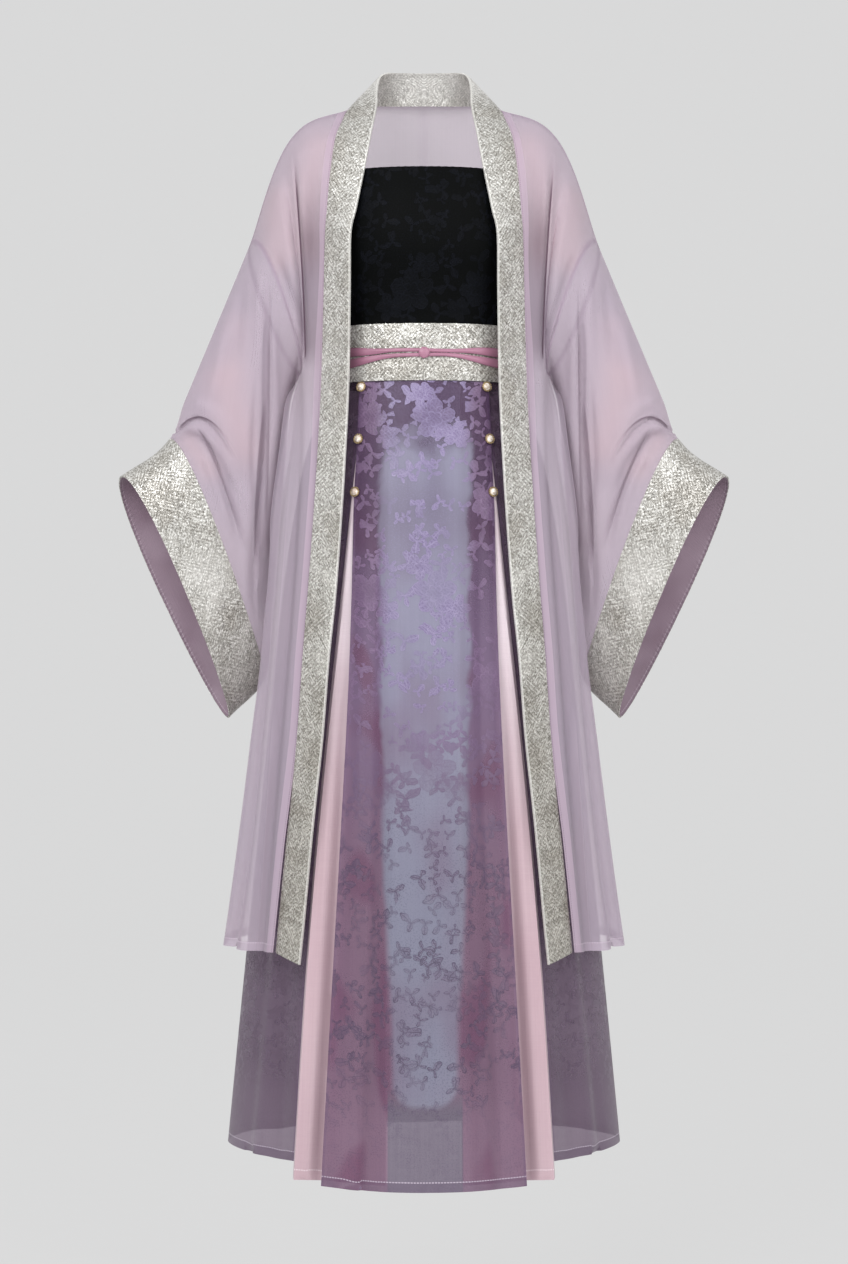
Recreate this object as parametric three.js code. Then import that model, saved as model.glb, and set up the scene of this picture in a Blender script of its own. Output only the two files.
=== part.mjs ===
// A hanfu set: an open robe with bell sleeves, over a tube top and a long pleated skirt.
// Millimetres, +Z up, +X to the viewer's right, the front faces -Y.
// The origin is at the base of the neck, where the wearer's shoulders carry the robe.
// Left pieces lie at -X. Each right piece is its left piece mirrored.
import * as THREE from 'three';

// ---------- driving dimensions ----------
const SEAM_GAP = 0.3;
const CHIFFON = 1.0;
const BROCADE = 1.8;
const SATIN = 1.0;
const JACQUARD = 1.0;
const WAISTBAND_WALL = 2.0;
const TIE_WALL = 1.2;

const TOP_UPPER_Z = -90;
const TOP_LOWER_Z = -302;
const WAIST_TOP_Z = -282.5;
const WAIST_BOTTOM_Z = -353;
const SKIRT_HEM_Z = -1320;
const LINING_HEM_Z = -1222;
const LINING_CORNER = 26;
const ROBE_HEM_Z = -1060;
const ARMPIT_Z = -335;
const BUTTON_RADIUS = 6;
const BUTTON_HEIGHT = 5;

// Torso form of the tube top and waistband: half width, front depth and back depth.
const FORM = [
  { z: -1320, half: 118, front: 88, back: 83 },
  { z: -353, half: 118, front: 88, back: 83 },
  { z: -282, half: 116, front: 87, back: 84 },
  { z: -230, half: 120, front: 98, back: 92 },
  { z: -175, half: 124, front: 111, back: 93 },
  { z: -130, half: 123, front: 107, back: 90 },
  { z: -90, half: 120, front: 97, back: 83 },
];
const FORM_POWER = 2.3;

// Skirt sections. front, edge and drop shape the front panel; side, sideY and power the side panels;
// fold is where the pleat insert turns back, and nest how far it lies behind the front panel.
const SKIRT = [
  { z: -1320, half: 253, front: 258, edge: 122, drop: 38, side: 146, sideY: 54, back: 180,
    power: 1.6, fold: 156, nest: 34 },
  { z: -1101, half: 231, front: 217, edge: 111, drop: 33, side: 138, sideY: 43, back: 163,
    power: 1.68, fold: 143, nest: 27 },
  { z: -929, half: 213, front: 186, edge: 102, drop: 30, side: 130, sideY: 34, back: 148,
    power: 1.78, fold: 130, nest: 20 },
  { z: -746, half: 194, front: 156, edge: 93, drop: 26, side: 122, sideY: 22, back: 133,
    power: 1.9, fold: 112, nest: 13 },
  { z: -625, half: 181, front: 139, edge: 89, drop: 24, side: 117, sideY: 12, back: 123,
    power: 2.0, fold: 99, nest: 8 },
  { z: -505, half: 163, front: 121, edge: 86.5, drop: 22, side: 110, sideY: 5, back: 112,
    power: 2.1, fold: 86, nest: 2.6 },
  { z: -430, half: 147, front: 107, edge: 83, drop: 21, side: 97, sideY: 2, back: 100,
    power: 2.2, fold: 78, nest: 2.4 },
  { z: -353, half: 119, front: 90, edge: 80, drop: 18.5, side: 85, sideY: 0, back: 83,
    power: 2.3, fold: 72, nest: 2.4 },
];
const PLEAT_INNER_X = 45;
const LINING_HALF_TOP = 47;
const LINING_HALF_HEM = 38;
const LAYER = 2.4;

// Robe body below the armholes: half width at the side seam, the seam's y, and the back depth.
const ROBE = [
  { z: -1060, half: 252, sideY: 21, back: 188 },
  { z: -960, half: 238, sideY: 13, back: 176 },
  { z: -850, half: 224, sideY: 5, back: 164 },
  { z: -800, half: 218, sideY: 0, back: 159 },
  { z: -713, half: 207, sideY: -6, back: 149 },
  { z: -655, half: 202, sideY: -10, back: 143 },
  { z: -585, half: 195, sideY: -14, back: 135 },
  { z: -500, half: 184, sideY: -18, back: 125 },
  { z: -430, half: 174, sideY: -18, back: 114 },
  { z: -369, half: 166, sideY: -12, back: 107 },
  { z: -335, half: 156, sideY: 0, back: 104 },
];
const ROBE_BACK_POWER = 2.2;

// Stations along the left collar band, from the centre back of the neck to the hem:
// its inner edge (ix, iy, iz) and its outer edge (ox, oy, oz), which is sewn to the robe.
const BAND = [
  { s: 0, ix: 0, iy: 72, iz: 61, ox: 0, oy: 84, oz: 21 },
  { s: 1, ix: -30, iy: 69, iz: 61, ox: -38, oy: 80, oz: 20 },
  { s: 2, ix: -50, iy: 50, iz: 57, ox: -70, oy: 62, oz: 17 },
  { s: 3, ix: -58, iy: 20, iz: 45, ox: -90, oy: 28, oz: 10 },
  { s: 4, ix: -60, iy: -8, iz: 24, ox: -98, oy: -2, oz: -2 },
  { s: 5, ix: -60, iy: -37, iz: -2, ox: -103, oy: -24, oz: -18 },
  { s: 6, ix: -66, iy: -66, iz: -42, ox: -111, oy: -52, oz: -46 },
  { s: 7, ix: -74, iy: -88, iz: -90, ox: -117, oy: -70, oz: -94 },
  { s: 8, ix: -84, iy: -98, iz: -140, ox: -121, oy: -75, oz: -142 },
  { s: 9, ix: -91, iy: -101, iz: -172, ox: -123.5, oy: -74, oz: -174 },
  { s: 10, ix: -92, iy: -100, iz: -239, ox: -125, oy: -71, oz: -239 },
  { s: 11, ix: -93.5, iy: -101, iz: -352, ox: -128, oy: -72, oz: -350 },
  { s: 12, ix: -97, iy: -112, iz: -440, ox: -132, oy: -84, oz: -437 },
  { s: 13, ix: -102, iy: -126, iz: -529, ox: -137, oy: -98, oz: -525 },
  { s: 14, ix: -108.5, iy: -136, iz: -619, ox: -143, oy: -108, oz: -613 },
  { s: 15, ix: -116.5, iy: -142, iz: -698, ox: -149, oy: -114, oz: -690 },
  { s: 16, ix: -124, iy: -147, iz: -794, ox: -155.5, oy: -118, oz: -786 },
  { s: 17, ix: -133, iy: -151, iz: -877, ox: -163, oy: -121, oz: -868 },
  { s: 18, ix: -138.5, iy: -152, iz: -932, ox: -169, oy: -121, oz: -922 },
  { s: 19, ix: -146, iy: -152, iz: -1013, ox: -177, oy: -120, oz: -1003 },
  { s: 20, ix: -151.5, iy: -152, iz: -1067, ox: -182, oy: -119, oz: -1056 },
];
const NECK_POINT_S = 4;

// Shoulder line of the left side, from the neck point to the top of the armhole seam.
const SHOULDER = [
  { s: 0, x: -98, y: -2, z: -2 },
  { s: 0.33, x: -151, y: 0, z: -20 },
  { s: 0.47, x: -171.5, y: 1, z: -41 },
  { s: 0.63, x: -189, y: 1, z: -75 },
  { s: 1, x: -220, y: 0, z: -170 },
];

// Rings of the left sleeve from the armhole seam to the cuff's rim. Each ring is a flattened loop
// between its top point T and bottom point B, deep to the front and back, and tilted.
const SLEEVE = [
  { s: 0, tx: -220, tz: -170, ty: 0, bx: -156, bz: -335, by: 0, depth: 61, tilt: 15 },
  { s: 1, tx: -232, tz: -199, ty: 0, bx: -171, bz: -374, by: 14, depth: 61, tilt: 15 },
  { s: 2, tx: -250, tz: -242, ty: 1, bx: -179, bz: -452, by: 34, depth: 60, tilt: 15 },
  { s: 3, tx: -279, tz: -311, ty: 2, bx: -189, bz: -545, by: 44, depth: 58, tilt: 16 },
  { s: 4, tx: -303, tz: -368, ty: 4, bx: -198, bz: -645, by: 50, depth: 55, tilt: 18 },
  { s: 5, tx: -324, tz: -419, ty: 5, bx: -207, bz: -728, by: 52, depth: 52, tilt: 19 },
  { s: 6, tx: -386, tz: -467, ty: 8, bx: -252, bz: -774, by: 46, depth: 50, tilt: 20 },
];
const CUFF_SEAM_S = 5;
const CUFF_RIM_S = 6;
const RING_SKEW = 0.12;

// The two strands of the waist tie: edges at a distance x from the centre front.
const TIE = [
  { x: 0, upperTop: -314, upperLow: -318.6, lowerTop: -319.8, lowerLow: -324.4 },
  { x: 42, upperTop: -313.6, upperLow: -318.6, lowerTop: -319.8, lowerLow: -325 },
  { x: 92, upperTop: -311, upperLow: -322.6, lowerTop: -325, lowerLow: -336.5 },
  { x: 130, upperTop: -311, upperLow: -322.6, lowerTop: -325, lowerLow: -336.5 },
];

const KNOT_Z = -319.2;

// Buttons on each edge of the front panel: distance from the centre line, and height.
const BUTTONS = [
  { x: 76.5, z: -360.5 },
  { x: 79.5, z: -426 },
  { x: 83.5, z: -492 },
];

// ---------- small helpers ----------
const mix = (a, b, t) => a + (b - a) * t;
const clamp = (v, low, high) => Math.min(high, Math.max(low, v));
const spow = (v, p) => Math.sign(v) * Math.abs(v) ** p;
const point = (x, y, z) => new THREE.Vector3(x, y, z);
const mirrored = (p) => point(-p.x, p.y, p.z);
const steps = (count) => Array.from({ length: count + 1 }, (_, i) => i / count);

// The smooth value of every column of a table at one place along its key column.
function sectionAt(table, key, place) {
  const last = table.length - 1;
  const at = clamp(place, table[0][key], table[last][key]);
  let i = 0;
  while (i < last - 1 && table[i + 1][key] < at) i += 1;
  const span = table[i + 1][key] - table[i][key];
  const t = (at - table[i][key]) / span;
  const section = {};
  for (const column of Object.keys(table[i])) {
    const slope = (a, b) => (table[b][column] - table[a][column]) / (table[b][key] - table[a][key]);
    const chord = slope(i, i + 1);
    const m0 = i > 0 ? 0.5 * (slope(i - 1, i) + chord) : chord;
    const m1 = i < last - 1 ? 0.5 * (slope(i + 1, i + 2) + chord) : chord;
    const [t2, t3] = [t * t, t * t * t];
    section[column] = table[i][column] * (2 * t3 - 3 * t2 + 1) + m0 * span * (t3 - 2 * t2 + t)
      + table[i + 1][column] * (3 * t2 - 2 * t3) + m1 * span * (t3 - t2);
  }
  return section;
}

// ---------- sheets ----------
// A grid is a list of rows of points. Moving its edges inwards leaves the seam gap.
function trimmed(grid, gaps) {
  const pull = (p, q, gap) => p.clone().add(q.clone().sub(p).setLength(gap));
  const rows = grid.map((row) => row.map((p) => p.clone()));
  const [m, n] = [grid.length - 1, grid[0].length - 1];
  if (gaps.start) rows[0] = grid[0].map((p, j) => pull(p, grid[1][j], gaps.start));
  if (gaps.end) rows[m] = grid[m].map((p, j) => pull(p, grid[m - 1][j], gaps.end));
  if (gaps.first) rows.forEach((row) => row.splice(0, 1, pull(row[0], row[1], gaps.first)));
  if (gaps.last) rows.forEach((row) => row.splice(n, 1, pull(row[n], row[n - 1], gaps.last)));
  return rows;
}

// Outward normals of a grid; around says whether its rows close on themselves.
function gridNormals(grid, around) {
  const [m, n] = [grid.length, grid[0].length];
  const wrap = (j) => (around ? (j + n) % n : clamp(j, 0, n - 1));
  return grid.map((row, i) => row.map((p, j) => {
    const along = grid[clamp(i + 1, 0, m - 1)][j].clone().sub(grid[clamp(i - 1, 0, m - 1)][j]);
    const across = row[wrap(j + 1)].clone().sub(row[wrap(j - 1)]);
    return along.cross(across).normalize();
  }));
}

// The grid moved outwards (or inwards, when the distance is negative) along its normals.
function movedOut(grid, distance, around, normals = gridNormals(grid, around)) {
  return grid.map((row, i) => row.map((p, j) => p.clone().addScaledVector(normals[i][j], distance)));
}

// A closed wall between a grid, which is its outer face, and the same grid moved inwards.
function wall(grid, thickness, around = false, normals = gridNormals(grid, around)) {
  const inner = movedOut(grid, -thickness, around, normals);
  const [m, n] = [grid.length, grid[0].length];
  const positions = [...grid.flat(), ...inner.flat()].flatMap((p) => [p.x, p.y, p.z]);
  const index = [];
  const quad = (a, b, c, d) => index.push(a, c, b, a, d, c);
  const outerAt = (i, j) => i * n + (j % n);
  const innerAt = (i, j) => m * n + i * n + (j % n);
  const columns = around ? n : n - 1;
  for (let i = 0; i < m - 1; i += 1) {
    for (let j = 0; j < columns; j += 1) {
      quad(outerAt(i, j), outerAt(i, j + 1), outerAt(i + 1, j + 1), outerAt(i + 1, j));
      quad(innerAt(i, j), innerAt(i + 1, j), innerAt(i + 1, j + 1), innerAt(i, j + 1));
    }
  }
  for (let j = 0; j < columns; j += 1) {
    quad(outerAt(0, j), innerAt(0, j), innerAt(0, j + 1), outerAt(0, j + 1));
    quad(outerAt(m - 1, j), outerAt(m - 1, j + 1), innerAt(m - 1, j + 1), innerAt(m - 1, j));
  }
  for (let i = 0; i < m - 1 && !around; i += 1) {
    quad(outerAt(i, 0), outerAt(i + 1, 0), innerAt(i + 1, 0), innerAt(i, 0));
    quad(outerAt(i, n - 1), innerAt(i, n - 1), innerAt(i + 1, n - 1), outerAt(i + 1, n - 1));
  }
  const geometry = new THREE.BufferGeometry();
  geometry.setAttribute('position', new THREE.Float32BufferAttribute(positions, 3));
  geometry.setIndex(index);
  return geometry;
}

// The mirror image of a geometry across x = 0, with its faces turned to point out again.
function mirroredGeometry(source) {
  const geometry = source.clone();
  geometry.scale(-1, 1, 1);
  const index = geometry.getIndex().array;
  for (let i = 0; i < index.length; i += 3) [index[i + 1], index[i + 2]] = [index[i + 2], index[i + 1]];
  return geometry;
}

// ---------- torso: tube top, waistband and tie ----------
// A point of the torso form moved out by a distance; angle 0 is the centre front, 90 the left side.
function torsoPoint(z, degrees, out = 0) {
  const section = sectionAt(FORM, 'z', z);
  const angle = THREE.MathUtils.degToRad(degrees);
  const depth = Math.cos(angle) > 0 ? section.front : section.back;
  const x = -(section.half + out) * spow(Math.sin(angle), 2 / FORM_POWER);
  const y = -(depth + out) * spow(Math.cos(angle), 2 / FORM_POWER);
  return point(x, y, z);
}

const TORSO_COLUMNS = 32;

// One half of the tube top between two angles.
function topPanel(fromDegrees, toDegrees) {
  const levels = [TOP_UPPER_Z, -120, -150, -180, -212, -248, WAIST_TOP_Z, TOP_LOWER_Z];
  const grid = levels.map((z) => steps(TORSO_COLUMNS / 2).map((u) => (
    torsoPoint(z, mix(toDegrees, fromDegrees, u))
  )));
  return wall(trimmed(grid, { first: SEAM_GAP / 2, last: SEAM_GAP / 2 }), SATIN);
}

// A band around the waist, outside the torso form by a distance, between two heights given at each place.
// The waist is straight from the waistband's top to its bottom.
function waistRing(out, thickness, upperAt, lowerAt) {
  const rows = [upperAt, lowerAt].map((heightAt) => (
    steps(TORSO_COLUMNS).slice(0, TORSO_COLUMNS).map((u) => {
      const top = torsoPoint(WAIST_TOP_Z, -360 * u, out);
      const bottom = torsoPoint(WAIST_BOTTOM_Z, -360 * u, out);
      return top.lerp(bottom, (heightAt(bottom) - WAIST_TOP_Z) / (WAIST_BOTTOM_Z - WAIST_TOP_Z));
    })
  ));
  return wall(rows, thickness, true);
}

function waistband() {
  return waistRing(1 + WAISTBAND_WALL, WAISTBAND_WALL, () => WAIST_TOP_Z, () => WAIST_BOTTOM_Z);
}

// One strand of the tie, all round the waistband; it narrows at the front where the strands meet.
function tieStrand(upper, lower) {
  const edge = (column) => (p) => {
    const place = p.y < 0 ? Math.abs(p.x) : TIE[TIE.length - 1].x;
    return sectionAt(TIE, 'x', place)[column];
  };
  const out = 1 + WAISTBAND_WALL + SEAM_GAP + TIE_WALL;
  return waistRing(out, TIE_WALL, edge(upper), edge(lower));
}

// The small knot at the centre front, a rounded bead lying on the strands.
function tieKnot() {
  const profile = [[0, 0], [4.6, 0], [5.6, 1.2], [4.4, 3], [0, 3.8]];
  const knot = new THREE.LatheGeometry(profile.map(([r, h]) => new THREE.Vector2(r, h)), 12);
  knot.rotateX(Math.PI);
  knot.scale(1.1, 1, 1.25);
  const out = 1 + WAISTBAND_WALL + SEAM_GAP + TIE_WALL + SEAM_GAP;
  const face = torsoPoint(WAIST_TOP_Z, 0, out).lerp(torsoPoint(WAIST_BOTTOM_Z, 0, out), 0.6);
  knot.translate(face.x, face.y, KNOT_Z);
  return knot;
}

// ---------- skirt ----------
// The front panel's y at a distance x from the centre line; it stays level beyond its edge.
function frontPanelY(section, x) {
  return -section.front + section.drop * Math.min(1, (x / section.edge) ** 2);
}

// A point of the left side panel's surface at a distance x from the centre line.
function sideSurfaceY(section, x) {
  const across = clamp(x / section.half, 0, 1) ** section.power;
  return section.sideY - (section.side + section.sideY) * (1 - across) ** (1 / section.power);
}

function skirtLevels(from, to, count) {
  return steps(count).map((t) => mix(from, to, t));
}

const SKIRT_TOP_Z = WAIST_BOTTOM_Z - SEAM_GAP;

function skirtFront() {
  const grid = skirtLevels(SKIRT_TOP_Z, SKIRT_HEM_Z, 10).map((z) => {
    const section = sectionAt(SKIRT, 'z', z);
    return steps(10).map((u) => {
      const x = mix(-section.edge, section.edge, u);
      return point(x, frontPanelY(section, x), z);
    });
  });
  return wall(grid, JACQUARD);
}

// The left pleat insert: behind the front panel, out to its fold, then back to the side panel.
function pleatInsert() {
  const grid = skirtLevels(SKIRT_TOP_Z, SKIRT_HEM_Z, 12).map((z) => {
    const section = sectionAt(SKIRT, 'z', z);
    const face = (x) => point(-x, frontPanelY(section, x) + section.nest, z);
    const front = steps(5).map((u) => face(mix(section.fold, PLEAT_INNER_X, u)));
    const meet = section.fold + 4;
    const back = Math.max(sideSurfaceY(section, meet), front[0].y + 1.2);
    const turned = [1, 0.5].map((t) => point(-mix(section.fold + 2.5, meet, t), mix(front[0].y, back, t), z));
    return [...turned, ...front];
  });
  return wall(grid, SATIN);
}

// The left side panel, from the pleat insert round to the side seam.
function skirtSide() {
  const grid = skirtLevels(SKIRT_TOP_Z, SKIRT_HEM_Z, 10).map((z) => {
    const section = sectionAt(SKIRT, 'z', z);
    const start = section.fold + 4 + 2 * SEAM_GAP;
    const startAngle = Math.asin((start / section.half) ** (section.power / 2));
    return steps(6).map((u) => {
      const angle = mix(Math.PI / 2, startAngle, u);
      const x = section.half * Math.sin(angle) ** (2 / section.power);
      return point(-x, sideSurfaceY(section, x), z);
    });
  });
  return wall(trimmed(grid, { first: SEAM_GAP }), JACQUARD);
}

// How far a soft vertical fold stands out at a place u across a panel, swelling towards the hem.
function foldDepth(u, count, depth, z, top, hem) {
  const swell = clamp((top - z) / (top - hem), 0, 1) ** 1.3;
  const edgeEase = Math.sin(Math.PI * u) ** 0.5;
  return depth * swell * edgeEase * Math.sin(2 * Math.PI * count * u);
}

function skirtBack() {
  const grid = skirtLevels(SKIRT_TOP_Z, SKIRT_HEM_Z, 8).map((z) => {
    const section = sectionAt(SKIRT, 'z', z);
    return steps(24).map((u) => {
      const angle = Math.PI * u;
      const x = section.half * spow(Math.cos(angle), 2 / ROBE_BACK_POWER);
      const reach = (section.back - section.sideY) * Math.sin(angle) ** (2 / ROBE_BACK_POWER);
      const fold = foldDepth(u, 5, 5, z, SKIRT_TOP_Z, SKIRT_HEM_Z);
      return point(x, section.sideY + reach + fold, z);
    });
  });
  return wall(trimmed(grid, { first: SEAM_GAP, last: SEAM_GAP }), JACQUARD);
}

// The narrow lining panel behind the pleat inserts, with rounded lower corners.
function skirtLining() {
  const levels = [...skirtLevels(SKIRT_TOP_Z, LINING_HEM_Z + LINING_CORNER, 7)];
  for (const t of [0.3, 0.6, 0.85, 1]) levels.push(LINING_HEM_Z + LINING_CORNER * (1 - t));
  const grid = levels.map((z) => {
    const section = sectionAt(SKIRT, 'z', z);
    const into = clamp((LINING_HEM_Z + LINING_CORNER - z) / LINING_CORNER, 0, 1);
    const rounding = LINING_CORNER * (1 - Math.sqrt(1 - into * into));
    const share = clamp((SKIRT_TOP_Z - z) / (SKIRT_TOP_Z - LINING_HEM_Z), 0, 1);
    const half = mix(LINING_HALF_TOP, LINING_HALF_HEM, share) - rounding;
    return steps(6).map((u) => {
      const x = mix(-half, half, u);
      return point(x, frontPanelY(section, x) + section.nest + LAYER, z);
    });
  });
  return wall(grid, SATIN);
}

// ---------- robe ----------
const bandAt = (s) => {
  const section = sectionAt(BAND, 's', s);
  return {
    inner: point(section.ix, section.iy, section.iz),
    outer: point(section.ox, section.oy, section.oz),
  };
};

// The station where the band's outer edge passes a height, found by halving.
function bandStationAt(z) {
  let [low, high] = [NECK_POINT_S, BAND[BAND.length - 1].s];
  for (let i = 0; i < 40; i += 1) {
    const middle = (low + high) / 2;
    if (bandAt(middle).outer.z > z) low = middle;
    else high = middle;
  }
  return low;
}

// A point of the left sleeve: ring s, and an angle of 0 at the top, 90 at the front, 180 below.
function sleevePoint(s, degrees) {
  const ring = sectionAt(SLEEVE, 's', s);
  const angle = THREE.MathUtils.degToRad(degrees);
  const [front, down] = [Math.sin(angle), (1 - Math.cos(angle)) / 2];
  const along = down - RING_SKEW * front * front;
  const chord = point(ring.bx - ring.tx, 0, ring.bz - ring.tz);
  const outward = point(chord.z, 0, -chord.x).normalize();
  const p = point(mix(ring.tx, ring.bx, along), mix(ring.ty, ring.by, along), mix(ring.tz, ring.bz, along));
  p.addScaledVector(outward, -ring.tilt * front);
  p.y -= ring.depth * front;
  return p;
}

const shoulderAt = (t) => {
  const section = sectionAt(SHOULDER, 's', t);
  return point(section.x, section.y, section.z);
};

// A horizontal section of the left front, from the band (u = 0) round to the side seam (u = 1).
function frontSection(z, u) {
  const section = sectionAt(ROBE, 'z', z);
  const start = bandAt(bandStationAt(z)).outer;
  const rise = (section.half + start.x) * 0.93;
  const bend = point(-section.half, start.y + rise, z);
  const side = point(-section.half, section.sideY, z);
  const curve = new THREE.QuadraticBezierCurve3(start, bend, side);
  return curve.getPoint(u);
}

// A horizontal section of the back, from the left side seam (u = 0) to the right one (u = 1).
function backSection(z, u) {
  const section = sectionAt(ROBE, 'z', z);
  const angle = Math.PI * u;
  const x = -section.half * spow(Math.cos(angle), 2 / ROBE_BACK_POWER);
  const reach = (section.back - section.sideY) * Math.sin(angle) ** (2 / ROBE_BACK_POWER);
  return point(x, section.sideY + reach, z);
}

// The point at (u, t) of a patch that fills the four curves around it. It runs straight from its top
// to its bottom curve, and the side curves pull it towards themselves within their reach.
function patchPoint(curves, u, t) {
  const ruled = (across) => curves.top(across).lerp(curves.bottom(across), t);
  const pull = (distance) => clamp(1 - distance / curves.reach, 0, 1) ** curves.decay;
  return ruled(u)
    .addScaledVector(curves.first(t).sub(ruled(0)), pull(u))
    .addScaledVector(curves.last(t).sub(ruled(1)), pull(1 - u));
}

const FRONT_PATCH = {
  reach: 1,
  decay: 1,
  top: shoulderAt,
  bottom: (u) => frontSection(ARMPIT_Z, u),
  first: (t) => bandAt(mix(NECK_POINT_S, bandStationAt(ARMPIT_Z), t)).outer,
  last: (t) => sleevePoint(0, 180 * t),
};

// The back's upper edge: left shoulder, round the back of the neck, right shoulder.
const SHOULDER_SHARE = 0.33;
function backTop(u) {
  const side = u < 0.5 ? u : 1 - u;
  const p = side < SHOULDER_SHARE
    ? shoulderAt(1 - side / SHOULDER_SHARE)
    : bandAt(NECK_POINT_S * (0.5 - side) / (0.5 - SHOULDER_SHARE)).outer;
  return u < 0.5 ? p : mirrored(p);
}

const BACK_PATCH = {
  reach: 0.5,
  decay: 1.5,
  top: backTop,
  bottom: (u) => backSection(ARMPIT_Z, u),
  first: (t) => sleevePoint(0, -180 * t),
  last: (t) => mirrored(sleevePoint(0, -180 * t)),
};

const UPPER_ROWS = 8;
const ROBE_LEVELS = [-369, -430, -510, -610, -720, -830, -945, ROBE_HEM_Z];

// Where the crease beside the arm runs across the upper front, and how deep it is.
const CREASE = [
  { t: 0, u: 0.58, depth: 0 },
  { t: 0.25, u: 0.54, depth: 8 },
  { t: 0.6, u: 0.55, depth: 13 },
  { t: 0.85, u: 0.66, depth: 8 },
  { t: 1, u: 0.7, depth: 0 },
];
const CREASE_WIDTH = 0.1;

// Folds of the front's lower edge: place across, depth at the hem and width; a negative one is a trough.
const FRONT_FOLDS = [
  { u: 0.3, depth: 5, width: 0.1 },
  { u: 0.55, depth: -11, width: 0.08 },
  { u: 0.78, depth: 7, width: 0.1 },
];

function robeFront() {
  const columns = steps(10);
  const upper = steps(UPPER_ROWS).map((t) => columns.map((u) => {
    const crease = sectionAt(CREASE, 't', t);
    const p = patchPoint(FRONT_PATCH, u, t);
    p.y += crease.depth * Math.exp(-(((u - crease.u) / CREASE_WIDTH) ** 2));
    return p;
  }));
  const lower = ROBE_LEVELS.map((z) => {
    const swell = clamp((ARMPIT_Z - z) / (ARMPIT_Z - ROBE_HEM_Z), 0, 1);
    return columns.map((u) => {
      const p = frontSection(z, u);
      let out = 0;
      for (const fold of FRONT_FOLDS) out += fold.depth * Math.exp(-(((u - fold.u) / fold.width) ** 2));
      return p.add(point(-out * swell * 0.7, -out * swell * 0.7, 0));
    });
  });
  return [...upper, ...lower].map((row) => row.reverse());
}

// The back stands out over the shoulder blades, most of all in its upper third.
const BLADE_DEPTH = 26;
const bladeOut = (u, t) => (
  BLADE_DEPTH * clamp(Math.sin(Math.PI * t ** 0.65), 0, 1) ** 0.6 * clamp(Math.sin(Math.PI * u), 0, 1) ** 0.7
);

function robeBack() {
  const columns = steps(24);
  const upper = steps(UPPER_ROWS).map((t) => columns.map((u) => {
    const p = patchPoint(BACK_PATCH, u, t);
    p.y += bladeOut(u, t);
    return p;
  }));
  const lower = ROBE_LEVELS.map((z) => columns.map((u) => {
    const p = backSection(z, u);
    p.y += foldDepth(u, 6, 7, z, ARMPIT_Z, ROBE_HEM_Z);
    return p;
  }));
  return [...upper, ...lower].map((row) => row.reverse());
}

// Both panels bend over the shoulder, so along it their walls share one direction: straight down.
function shoulderNormals(grid, onShoulder) {
  const normals = gridNormals(grid, false);
  normals[0] = grid[0].map((p, j) => (onShoulder(j) ? point(normals[0][j].x, 0, 1).normalize() : normals[0][j]));
  return normals;
}

function robeFrontWall() {
  const grid = trimmed(robeFront(), { start: SEAM_GAP, first: SEAM_GAP, last: SEAM_GAP });
  return wall(grid, CHIFFON, false, shoulderNormals(grid, () => true));
}

// The back is two panels sewn together down the middle. Each is an upper and a lower node that meet
// at the foot of the armhole. This gives the walls by name.
function robeBackWalls() {
  const full = robeBack();
  const grid = trimmed(full, { start: 2 * SEAM_GAP, first: SEAM_GAP, last: SEAM_GAP });
  const reach = -bandAt(NECK_POINT_S).outer.x;
  const normals = shoulderNormals(grid, (j) => Math.abs(full[0][j].x) > reach - 1);
  const middle = (grid[0].length - 1) / 2;
  const half = SEAM_GAP / 2;
  const halves = [
    { side: 'left', gap: { first: half }, cut: (row) => row.slice(middle) },
    { side: 'right', gap: { last: half }, cut: (row) => row.slice(0, middle + 1) },
  ];
  const lengths = [
    { level: 'upper', gap: { end: half }, cut: (rows) => rows.slice(0, UPPER_ROWS + 1) },
    { level: 'lower', gap: { start: half }, cut: (rows) => rows.slice(UPPER_ROWS) },
  ];
  return halves.flatMap((across) => lengths.map((along) => {
    const panel = trimmed(along.cut(grid).map(across.cut), { ...across.gap, ...along.gap });
    const directions = along.cut(normals).map(across.cut);
    return [`robe_back_${along.level}_${across.side}`, wall(panel, CHIFFON, false, directions)];
  }));
}

function collarBand() {
  const grid = steps(30).map((t) => {
    const edges = bandAt(mix(0, BAND[BAND.length - 1].s, t));
    return steps(2).map((u) => edges.outer.clone().lerp(edges.inner, u));
  });
  return wall(trimmed(grid, { start: SEAM_GAP / 2, first: 1.5 * SEAM_GAP }), BROCADE);
}

// Rings of the sleeve between two stations, as rows that close on themselves.
const RING_POINTS = 16;
function sleeveRings(from, to, count) {
  return steps(count).map((t) => (
    steps(RING_POINTS).slice(0, RING_POINTS).map((u) => sleevePoint(mix(from, to, t), 360 * u))
  ));
}

// The sleeve and its cuff share the ring at their seam and the directions of their walls there.
const SLEEVE_STEPS = 8;
const CUFF_STEPS = 2;
const armRings = [
  ...sleeveRings(0, CUFF_SEAM_S, SLEEVE_STEPS),
  ...sleeveRings(CUFF_SEAM_S, CUFF_RIM_S, CUFF_STEPS).slice(1),
];
const armNormals = gridNormals(armRings, true);

function sleeve() {
  const rings = armRings.slice(0, SLEEVE_STEPS + 1);
  const normals = armNormals.slice(0, SLEEVE_STEPS + 1);
  return wall(trimmed(rings, { start: 3 * SEAM_GAP, end: SEAM_GAP / 2 }), CHIFFON, true, normals);
}

function cuffBand() {
  const rings = armRings.slice(SLEEVE_STEPS);
  return wall(trimmed(rings, { start: SEAM_GAP / 2 }), BROCADE, true, armNormals.slice(SLEEVE_STEPS));
}

function cuffFacing() {
  const normals = armNormals.slice(SLEEVE_STEPS);
  const lining = movedOut(armRings.slice(SLEEVE_STEPS), -(BROCADE + SEAM_GAP), true, normals);
  return wall(trimmed(lining, { start: 1, end: 0.5 }), SATIN, true, normals);
}

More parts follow.
